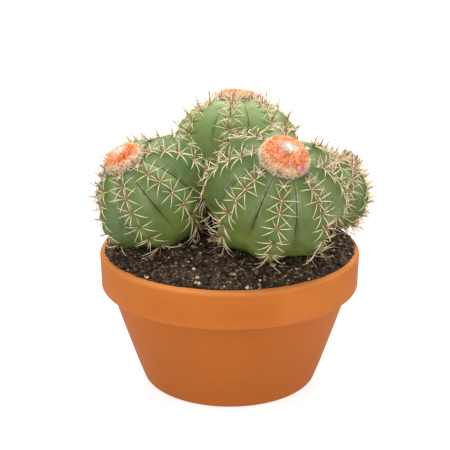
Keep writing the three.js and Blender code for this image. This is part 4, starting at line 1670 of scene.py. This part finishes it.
@dataclass(frozen=True)
class BristlyCap:
    """A grown plant's cap: a woolly dome, tufts of bristles over it and bare wool on top.

    A name that ends in _draw is the range of a random draw, and one that ends in _spread is how
    far a normal draw scatters. Lengths among the draws are millimetres, and so are the rise in
    each pair of a lump's width and its rise, and how far the wool is sunk.
    """

    plant: Plant
    shapes: HairShapes
    skirt: float = 0.7 * MM
    bare: float = 0.3
    bare_fray: float = 0.5
    outline: tuple[Range, ...] = (
        (0.86, 0.0), (0.97, 0.14), (1.0, 0.34), (0.95, 0.57), (0.82, 0.78), (0.56, 0.95),
        (0.28, 1.05), (0.02, 1.08),
    )
    dome_sides: int = 24
    lumps: tuple[Range, ...] = ((0.0048, 0.75), (0.0019, 0.35))
    sunk: float = 0.15
    stations: int = 200
    tuft_bristles: int = 5
    clump_size: float = 0.0032
    clump_tone: float = 0.55
    middle_tone: float = 0.48
    upward: float = 0.2
    turn_draw: Range = (-0.1, 0.1)
    lean_spread: float = 0.2
    tuft_tone_spread: float = 0.14
    tuft_length_draw: Range = (-0.4, 0.5)
    clump_length: float = 0.4 * MM
    side_spread: float = 0.06
    foot_draw: Range = (0.0, 0.5)
    root_depth: float = 0.9 * MM
    bend_draw: Range = (-30.0, 30.0)
    length_draw: Range = (2.2, 3.0)
    radius_draw: Range = (0.19, 0.26)
    tone_spread: float = 0.08
    fibre_spread: float = 0.6
    fibre_root_depth: float = 0.3 * MM
    fibre_bend_draw: Range = (-70.0, 70.0)
    fibre_shortest: float = 1.3
    fibre_radius: float = 0.16 * MM

    def rings(self) -> Array:
        """Radius and height of the dome under its bristles."""
        cap = self.plant.cap
        return np.array(self.outline) * np.array([cap.radius - self.skirt, cap.height - self.skirt])

    def build(self) -> None:
        """Make the dome, its bristles and its wool."""
        plant, cap = self.plant, self.plant.cap
        draw = np.random.default_rng(plant.seed + 50)
        node = plant.name.replace("cactus", "cap")
        dome = raised_ring(f"{node}_dome", self.rings().tolist(), self.dome_sides, pointed=True)
        finish_with(dome, "SUBSURF", levels=2, render_levels=2)
        points, outward = points_of(dome), points_of(dome, "normal")
        layers = enumerate(self.lumps, start=1)
        lumps = sum(rough(points, width, float(layer)) * rise for layer, (width, rise) in layers)
        points = points + outward * (lumps[:, None] - self.sunk) * MM
        mark_points(dome, "side", 1.0 - points[:, 2] / cap.height)
        mark_points(dome, "middle", cap.off_bare(points))
        move_points(dome, plant.cap_placed(points))
        dome.data.shade_smooth()
        settle(dome, FINISHES["cap_wool"], "cap_bristle", node)
        self.build_bristles(f"{node}_bristles", draw)
        self.build_fibres(f"{node}_fibres", draw)

    def place_at(self, share: float, turn: float) -> tuple[Array, Array]:
        """Find a place on the dome.

        Args:
            share: Share of the dome's area that lies below it.
            turn: Direction round the cap's axis, in radians.

        Returns:
            The place and the outward normal there, in the cap's frame.
        """
        rings = self.rings()
        steps = np.linalg.norm(np.diff(rings, axis=0), axis=1)
        stations = np.concatenate([[0.0], np.cumsum(steps)])
        fine = np.linspace(0.0, stations[-1], self.stations)
        radius = np.interp(fine, stations, rings[:, 0])
        height = np.interp(fine, stations, rings[:, 1])
        area = np.cumsum(radius)
        here = min(self.stations - 1, int(np.searchsorted(area / area[-1], share)))
        out = level_ways(turn)[0]
        normal = out * np.gradient(height)[here] - UP * np.gradient(radius)[here]
        return out * radius[here] + UP * height[here], unit(normal)

    def build_bristles(self, name: str, draw: Draw) -> None:
        """Stand tufts of bristles on the dome.

        Args:
            name: The piece's name.
            draw: The cap's own random draws.
        """
        cap = self.plant.cap
        bristles = Gathering(name)
        for order in range(cap.tufts):
            turn = order * GOLDEN_TURN + draw.uniform(*self.turn_draw)
            place, normal = self.place_at((order + 0.5) / cap.tufts, turn)
            clump = float(rough(place[None, :], self.clump_size, self.plant.seed)[0])
            off_bare = float(cap.off_bare(place[None, :])[0])
            if off_bare >= self.bare * (1.0 + self.bare_fray * clump):
                self.stand_tuft(bristles, place, normal, clump, off_bare, draw)
        settle(bristles.build(), FINISHES["cap_hair"], "cap_bristle")

    def stand_tuft(self, bristles: Gathering, place: Array, normal: Array, clump: float,
                   off_bare: float, draw: Draw) -> None:
        """Stand one tuft of bristles.

        Args:
            bristles: The gathering that takes them.
            place: Where the tuft stands, in the cap's frame.
            normal: The dome's outward normal there.
            clump: How high and pale the bristles round it run, from about -1 to 1.
            off_bare: Share of the cap's radius that it stands from the bare wool's middle.
            draw: The cap's own random draws.
        """
        shape = self.shapes.bristle
        lean = normal + self.upward * UP + draw.normal(0.0, self.lean_spread, 3)
        tuft_tone = self.middle_tone + self.clump_tone * clump + draw.normal(0.0, self.tuft_tone_spread)
        tall = draw.uniform(*self.tuft_length_draw) * MM + self.clump_length * clump
        side_share = 1.0 - place[2] / self.plant.cap.height + draw.normal(0.0, self.side_spread)
        for _ in range(self.tuft_bristles):
            way, side = loose_ways(lean, self.lean_spread, draw)
            foot = place + side * draw.uniform(*self.foot_draw) * MM - normal * self.root_depth
            bristle = Hair(foot, way, side, 0.0, draw.uniform(*self.bend_draw),
                           draw.uniform(*self.length_draw) * MM + tall,
                           draw.uniform(*self.radius_draw) * MM)
            tone = tuft_tone + draw.normal(0.0, self.tone_spread)
            bristles.add(shape, self.plant.cap_placed(bristle.bent(shape)),
                         along=shape.points[:, 2], side=np.clip(side_share, 0.0, 1.0),
                         tone=np.clip(tone, 0.0, 1.0), middle=off_bare)

    def build_fibres(self, name: str, draw: Draw) -> None:
        """Lay loose wool between the bristles, and thickly over the bare middle.

        Args:
            name: The piece's name.
            draw: The cap's own random draws.
        """
        cap, shape = self.plant.cap, self.shapes.fibre
        fibres = Gathering(name)
        for order in range(cap.fibres):
            zone = FIBRE_ZONES[order % len(FIBRE_ZONES)]
            share = (order + 0.5) / cap.fibres
            if zone.span:
                share = zone.start + zone.span * draw.uniform(0.0, 1.0)
            place, normal = self.place_at(share, order * GOLDEN_TURN)
            way, side = loose_ways(normal * zone.lean, self.fibre_spread, draw)
            fibre = Hair(place - normal * self.fibre_root_depth, way, side, 0.0,
                         draw.uniform(*self.fibre_bend_draw),
                         draw.uniform(self.fibre_shortest, zone.longest) * MM, self.fibre_radius)
            fibres.add(shape, self.plant.cap_placed(fibre.bent(shape)), white=zone.white)
        settle(fibres.build(), FINISHES["areole_wool"], "cap_bristle")


@dataclass(frozen=True)
class Bud:
    """Where a flower or fruit stands in a cap's wool."""

    name: str
    plant: Plant
    bearing: float
    radius: float
    length: float
    stand: float
    tilt: float = 52.0
    socket: float = 0.0024
    sides: int = 16

    def placed(self, local: Array) -> Array:
        """Bring points from the bud's own frame, with +Z along it, to the bowl's.

        Args:
            local: Rows of x, y and z in the bud's frame.

        Returns:
            The same points in the bowl's frame.
        """
        around, tilt = level_ways(math.radians(self.bearing))[0], math.radians(self.tilt)
        turn = turn_to(around * math.sin(tilt) + UP * math.cos(tilt))
        foot = around * (self.plant.cap.radius - self.socket) + UP * self.stand
        return self.plant.cap_placed(local @ turn.T + foot)

    def ringed(self, name: str, outline: tuple[Range, ...]) -> Piece:
        """Raise a piece along an outline given in shares of the bud's radius and length."""
        rings = [(share * self.radius, rise * self.length) for share, rise in outline]
        return raised_ring(name, rings, self.sides)


@dataclass(frozen=True)
class Flower(Bud):
    """A small flower: a short tube with two whorls of narrow petals.

    The whorls' pairs are a petal's length and flare, as shares of the flower's length and radius.
    """

    tube: tuple[Range, ...] = ((0.5, 0.0), (0.62, 0.25), (0.72, 0.5), (0.8, 0.62))
    throat: float = 0.72
    petals_from: float = 0.5
    petal_width: float = 0.42
    whorls: tuple[Range, ...] = ((0.5, 0.75), (0.42, 0.35))
    petals: int = 18
    root_share: float = 0.14
    fullness: float = 0.7
    least_width: float = 0.08
    thickness: float = 0.2 * MM
    cupping: float = 0.2 * MM

    def build(self) -> None:
        """Make the tube and set the petals round it, outer and inner by turns."""
        tube = Pattern.taken_from(self.ringed("flower_tube", self.tube))
        flower = Gathering(self.name)
        flower.add(tube, self.placed(tube.points), along=tube.points[:, 2] / self.length)
        petal = self.petal()
        reach = petal.points[:, 1]
        for order in range(self.petals):
            length, flare = self.whorls[order % 2]
            way, across = level_ways(order * FULL_TURN / self.petals)
            out = (self.throat + flare * reach ** 2) * self.radius + petal.points[:, 2]
            rise = (self.petals_from + length * reach) * self.length
            aside = petal.points[:, 0] * self.petal_width * self.radius
            points = np.outer(out, way) + np.outer(rise, UP) + np.outer(aside, across)
            flower.add(petal, self.placed(points), along=reach)
        finish = PinkFlesh("pink_petal", tint(250, 200, 202), tint(230, 118, 144))
        settle(flower.build(), finish.material(), "pink_petal", self.name)

    def petal(self) -> Pattern:
        """Shape one unit petal from a small grid and give it thickness.

        Returns:
            The petal, with its root at 0 and its end at 1 on the Y axis.
        """
        deselect_all()
        bpy.ops.mesh.primitive_grid_add(x_subdivisions=2, y_subdivisions=5, size=1.0)
        blade = named("petal")
        points = points_of(blade)
        reach = points[:, 1] + 0.5
        along = reach * (1.0 - self.root_share) + self.root_share
        width = np.sin(np.pi * np.clip(along, 0.0, 1.0)) ** self.fullness
        points[:, 0] *= np.maximum(width, self.least_width)
        points[:, 1] = reach
        points[:, 2] = -self.cupping * (2.0 * points[:, 0]) ** 2
        move_points(blade, points)
        finish_with(blade, "SOLIDIFY", thickness=self.thickness, offset=0.0)
        return Pattern.taken_from(blade)


@dataclass(frozen=True)
class Berry(Bud):
    """A club-shaped fruit with a sunken, withered end."""

    outline: tuple[Range, ...] = (
        (0.5, 0.0), (0.72, 0.2), (0.95, 0.5), (1.0, 0.72), (0.82, 0.92), (0.45, 1.0), (0.3, 0.95),
    )

    def build(self) -> None:
        """Raise the berry, round it off and dress it."""
        berry = self.ringed(self.name, self.outline)
        finish_with(berry, "SUBSURF", levels=2, render_levels=2)
        local = points_of(berry)
        move_points(berry, self.placed(local))
        mark_points(berry, "along", 1.0 - local[:, 2] / self.length)
        berry.data.shade_smooth()
        finish = PinkFlesh("berry_skin", tint(240, 160, 170), tint(214, 92, 110))
        settle(berry, finish.material(), "pink_petal", self.name)


@dataclass(frozen=True)
class Strewn:
    """One kind of loose bits on the soil: how many, how large, how deep and how flat they lie."""

    finish: Compost
    count: int
    sizes: Range
    sink: float
    seed: int
    tumble: float = 1.2


CRUMBS = Strewn(
    Compost("soil_crumbs", tint(14, 10, 7), tint(56, 40, 28), tint(146, 118, 88)),
    count=7800, sizes=(0.0003, 0.0019), sink=0.2, seed=3,
)
GRIT = Strewn(
    Compost("pale_grit", tint(178, 146, 98), tint(216, 196, 158), tint(246, 238, 220)),
    count=330, sizes=(0.0003, 0.0016), sink=0.1, seed=4,
)
BARK = Strewn(
    Compost("bark_flakes", tint(28, 20, 14), tint(96, 66, 44), tint(176, 146, 112)),
    count=460, sizes=(0.0006, 0.0024), sink=0.0, seed=5, tumble=0.72,
)
ROOTLETS = Compost("soil_rootlets", tint(92, 66, 44), tint(140, 108, 76), tint(190, 164, 128))


def tumbled(points: Array, tumble: float, draw: Draw) -> Array:
    """Turn a lump any way round and tilt it.

    Args:
        points: The lump's points.
        tumble: How far the tilt scatters, in radians.
        draw: The random draws.

    Returns:
        The turned points.
    """
    spin, tilt = draw.uniform(0.0, FULL_TURN), draw.normal(0.0, tumble)
    c, s = math.cos(spin), math.sin(spin)
    level = points @ np.array([[c, s, 0.0], [-s, c, 0.0], [0.0, 0.0, 1.0]])
    c, s = math.cos(tilt), math.sin(tilt)
    return level @ np.array([[1.0, 0.0, 0.0], [0.0, c, s], [0.0, -s, c]])


@dataclass(frozen=True)
class SoilLitter:
    """What lies loose on the soil: crumbs, pale grit, bark and rootlets.

    Lengths among the draws are millimetres.
    """

    soil: SoilHeap
    garden: list[Plant]
    fibre: Pattern
    reach: float = 0.995
    rootlet_reach: float = 0.97
    clear: float = 0.3 * MM
    fineness: float = 2.2
    flake_form: Place = (1.6, 0.7, 0.22)
    rootlets: int = 260
    rootlet_seed: int = 6
    rootlet_tilt_draw: Range = (0.0, 0.5)
    rootlet_bend_draw: Range = (-70.0, 70.0)
    rootlet_length_draw: Range = (2.0, 6.5)
    rootlet_tone_draw: Range = (0.3, 1.0)
    rootlet_radius: float = 0.14 * MM
    rootlet_lift: float = 0.5 * MM

    def spot(self, draw: Draw, reach: float) -> Array:
        """Draw a place on the open soil, clear of the plants.

        Args:
            draw: The random draws.
            reach: Share of the soil's area that counts, from the middle out.

        Returns:
            The place.
        """
        while True:
            bearing = draw.uniform(0.0, FULL_TURN)
            radius = math.sqrt(draw.uniform(0.0, reach)) * self.soil.edge(np.array(bearing))
            point = radius * level_ways(bearing)[0][None, :]
            point[:, 2] = self.soil.height(point[:, 0], point[:, 1])
            if all(plant.depth_of(point)[0] > self.clear for plant in self.garden):
                return point[0]

    def strew(self, kind: Strewn, shapes: list[Pattern]) -> None:
        """Strew copies of some lumps over the open soil, most of them small.

        Args:
            kind: What is strewn.
            shapes: The lumps to draw from.
        """
        draw = np.random.default_rng(kind.seed)
        litter = Gathering(kind.finish.name)
        least, most = kind.sizes
        for _ in range(kind.count):
            size = least + (most - least) * draw.uniform(0.0, 1.0) ** self.fineness
            shape = shapes[int(draw.integers(len(shapes)))]
            spot = self.spot(draw, self.reach) + UP * (0.5 - kind.sink) * size
            points = tumbled(shape.points * size, kind.tumble, draw) + spot
            litter.add(shape, points, tone=draw.uniform(0.0, 1.0))
        settle(litter.build(), kind.finish.material(), "potting_soil")

    def lay_rootlets(self) -> None:
        """Lay thin dry rootlets and fibres over the soil."""
        draw = np.random.default_rng(self.rootlet_seed)
        rootlets = Gathering(ROOTLETS.name)
        for _ in range(self.rootlets):
            spot = self.spot(draw, self.rootlet_reach) + UP * self.rootlet_lift
            heading, side = level_ways(draw.uniform(0.0, FULL_TURN))
            side = unit(side + UP * draw.uniform(*self.rootlet_tilt_draw))
            rootlet = Hair(spot, heading, side, 0.0, draw.uniform(*self.rootlet_bend_draw),
                           draw.uniform(*self.rootlet_length_draw) * MM, self.rootlet_radius)
            rootlets.add(self.fibre, rootlet.bent(self.fibre),
                         tone=draw.uniform(*self.rootlet_tone_draw))
        settle(rootlets.build(), ROOTLETS.material(), "potting_soil")

    def build(self) -> None:
        """Strew everything that lies on the soil."""
        crumbs = [rough_stone(f"crumb_{order}", 1, order + 1) for order in range(4)]
        stones = [rough_stone(f"stone_{order}", 2, order + 9) for order in range(3)]
        flakes = [Pattern(shape.points * np.array(self.flake_form), shape.faces) for shape in crumbs]
        for kind, shapes in ((CRUMBS, crumbs), (GRIT, stones), (BARK, flakes)):
            self.strew(kind, shapes)
        self.lay_rootlets()


def aim(thing: Piece, target: Place) -> None:
    """Turn a camera or a light to face a point."""
    thing.rotation_mode = "QUATERNION"
    thing.rotation_quaternion = (Vector(target) - thing.location).to_track_quat("-Z", "Y")


@dataclass(frozen=True)
class Softbox:
    """One square light: where it hangs, how wide it is and its power in watts."""

    place: Place
    size: float
    power: float


@dataclass(frozen=True)
class Studio:
    """The camera, the soft light and the pale floor."""

    camera_at: Place = (0.0, -0.850, 0.403)
    target: Place = (-0.00325, 0.0, 0.1105)
    lens: float = 103.84
    sensor: float = 36.0
    near: float = 0.01
    softboxes: tuple[Softbox, ...] = (
        Softbox((-0.45, -0.75, 1.1), 0.9, 6.0),
        Softbox((0.65, -0.6, 0.9), 0.9, 3.6),
        Softbox((0.0, 0.7, 1.1), 1.2, 26.0),
    )
    lit_at: Place = (0.0, 0.0, 0.12)
    white: Colour = (1.0, 1.0, 1.0, 1.0)
    sky: float = 0.58
    floor_size: float = 12.0
    floor_drop: float = 0.2 * MM
    floor_glow: float = 0.76

    def set_up(self) -> None:
        """Make the camera, lights, sky and floor."""
        deselect_all()
        bpy.ops.object.camera_add(location=self.camera_at)
        camera = bpy.context.object
        aim(camera, self.target)
        camera.data.lens = self.lens
        camera.data.sensor_width = self.sensor
        camera.data.clip_start = self.near
        bpy.context.scene.camera = camera
        for softbox in self.softboxes:
            self.hang(softbox)
        world = bpy.data.worlds.new("studio")
        world.use_nodes = True
        sky = world.node_tree.nodes["Background"]
        sky.inputs["Color"].default_value = self.white
        sky.inputs["Strength"].default_value = self.sky
        bpy.context.scene.world = world
        bpy.context.scene.view_settings.view_transform = "Standard"
        self.lay_floor()

    def hang(self, softbox: Softbox) -> None:
        """Hang one light so that it faces the plants.

        Args:
            softbox: The light.
        """
        bpy.ops.object.light_add(type="AREA", location=softbox.place)
        light = bpy.context.object
        light.data.shape = "SQUARE"
        light.data.size = softbox.size
        light.data.energy = softbox.power
        aim(light, self.lit_at)

    def lay_floor(self) -> None:
        """Lay the pale, faintly glowing floor just under the bowl."""
        deselect_all()
        bpy.ops.mesh.primitive_plane_add(size=self.floor_size, location=(0.0, 0.0, -self.floor_drop))
        floor = named("studio_floor")
        paper = Recipe("studio_paper", 0.9, 0.1)
        paper.feed(paper.shader.inputs["Emission Color"], self.white)
        paper.feed(paper.shader.inputs["Emission Strength"], self.floor_glow)
        paper.colour = paper.patches(0.4, 2.0, (0.3, 0.33), (0.7, 0.36))
        floor.data.materials.append(paper.done())


FINISHES: dict[str, Material] = {}


def write_finishes() -> None:
    """Write the finishes that all plants share."""
    horns = (
        SpineHorn("pale_spine", tint(166, 112, 80), tint(213, 180, 142), tint(243, 228, 194),
                  tint(212, 182, 140), tint(225, 200, 158)),
        SpineHorn("brown_spine", tint(154, 92, 62), tint(176, 118, 82), tint(150, 104, 76),
                  tint(88, 64, 52), tint(132, 98, 74)),
    )
    for finish in (*horns, Wool(), CapWool(), CapBristle()):
        material = finish.material()
        FINISHES[material.name] = material


def plants() -> list[Plant]:
    """List the four plants as they stand in the bowl.

    Returns:
        The front, left, back and young plants.
    """
    front = Plant(
        name="cactus_front", centre=(0.0298, -0.030, 0.1424), seed=11,
        radius=0.048, top=0.0387, bottom=0.044, lean_x=9.0, lean_y=-31.9, turn=2.3,
        areoles=(34.0, 45.0, 57.5, 72.0, 88.0, 104.0, 120.0, 136.0),
        stagger=(0.1, 0.3, -0.2, 0.2, 0.3, 0.05, -0.4, 0.1),
        seat=26.0, seat_tilt=(-0.08, -0.115), cap_shift=(-0.0013, -0.0032),
        cap=Cap(0.0164, 0.0134, tufts=720, fibres=1900, bare_at=(0.0009, 0.0)),
        skin=CactusSkin("front_skin", tint(93, 112, 44), tint(88, 111, 54), tint(136, 147, 100),
                        tint(180, 184, 96)),
    )
    left = Plant(
        name="cactus_left", centre=(-0.0534, -0.004, 0.1352), seed=23,
        radius=0.0434, top=0.034, bottom=0.039, lean_x=-33.7, lean_y=-17.5, turn=29.5,
        areoles=(33.0, 46.0, 62.0, 80.0, 98.0, 116.0, 134.0),
        stagger=(0.1, 0.3, 0.0, 0.2, 0.25, 0.0, 0.5, -0.2),
        sunk=(0.0, 0.0, 0.0, 0.09, 0.0, 0.0, 0.0, 0.0), groove_end=128.0, groove=0.3 * MM,
        seat=23.0, seat_tilt=(-0.15, -0.12), cap_shift=(0.0015, -0.003),
        cap=Cap(0.0141, 0.0101, tufts=500, fibres=1300),
        skin=CactusSkin("left_skin", tint(97, 119, 52), tint(87, 115, 68), tint(140, 151, 98),
                        tint(148, 158, 82), crease_shade_end=0.66, crease_share=0.7),
    )
    back = Plant(
        name="cactus_back", centre=(0.0049, 0.062, 0.1546), seed=37, slot="cactus_skin_pale",
        radius=0.0442, top=0.0302, bottom=0.054, lean_x=2.3, lean_y=16.9, turn=36.9,
        areoles=(34.0, 48.0, 64.0, 81.0, 96.0, 110.0, 123.0),
        stagger=(0.2, -0.3, 0.1, -0.2, 0.3, -0.1, 0.25, -0.25), groove=0.15 * MM, bushy=True,
        seat=22.5, cap_shift=(-0.001, 0.0), cap=Cap(0.0156, 0.0079, tufts=520, fibres=1400),
        # The back plant's skin colours are lighter than the others: painted light from above.
        skin=CactusSkin("back_skin_painted_light", tint(112, 137, 70), tint(122, 145, 86), tint(148, 162, 112),
                        tint(124, 140, 78), crease=tint(84, 106, 60), crease_shade_end=0.5,
                        crease_share=0.4),
    )
    young = Plant(
        name="cactus_young", centre=(0.0694, 0.0365, 0.1214), seed=41,
        radius=0.0315, top=0.028, bottom=0.023, lean_x=34.0, lean_y=12.0, turn=10.0, seat=7.0,
        areoles=(15.0, 31.0, 48.0, 66.0, 85.0, 105.0, 126.0),
        stagger=(0.0, 0.3, -0.1, 0.2, -0.2, 0.25, 0.05, 0.3), bushy=True,
        skin=CactusSkin("young_skin", tint(98, 116, 55), tint(94, 117, 64), tint(134, 144, 94),
                        tint(128, 130, 66)),
    )
    return [front, left, back, young]


def main() -> None:
    """Build the bowl, the soil, the plants and the studio, in that order."""
    logging.basicConfig(level=logging.INFO, format="%(name)s: %(message)s")
    write_finishes()
    bowl = ClayBowl()
    bowl.build()
    soil = SoilHeap(bowl)
    soil.build()
    garden = plants()
    front, _, back, _ = garden
    shapes = HairShapes()
    for plant in garden:
        plant.build_body()
        SpineCoat(plant, garden, soil, shapes).build()
        if plant.cap is not None:
            BristlyCap(plant, shapes).build()
    Flower("flower_front", front, bearing=-54.0, radius=0.0021, length=0.006, stand=0.0078).build()
    Berry("fruit_back", back, bearing=-12.0, radius=0.0015, length=0.0048, stand=0.0022).build()
    SoilLitter(soil, garden, shapes.fibre).build()
    Studio().set_up()


if __name__ == "__main__":
    main()
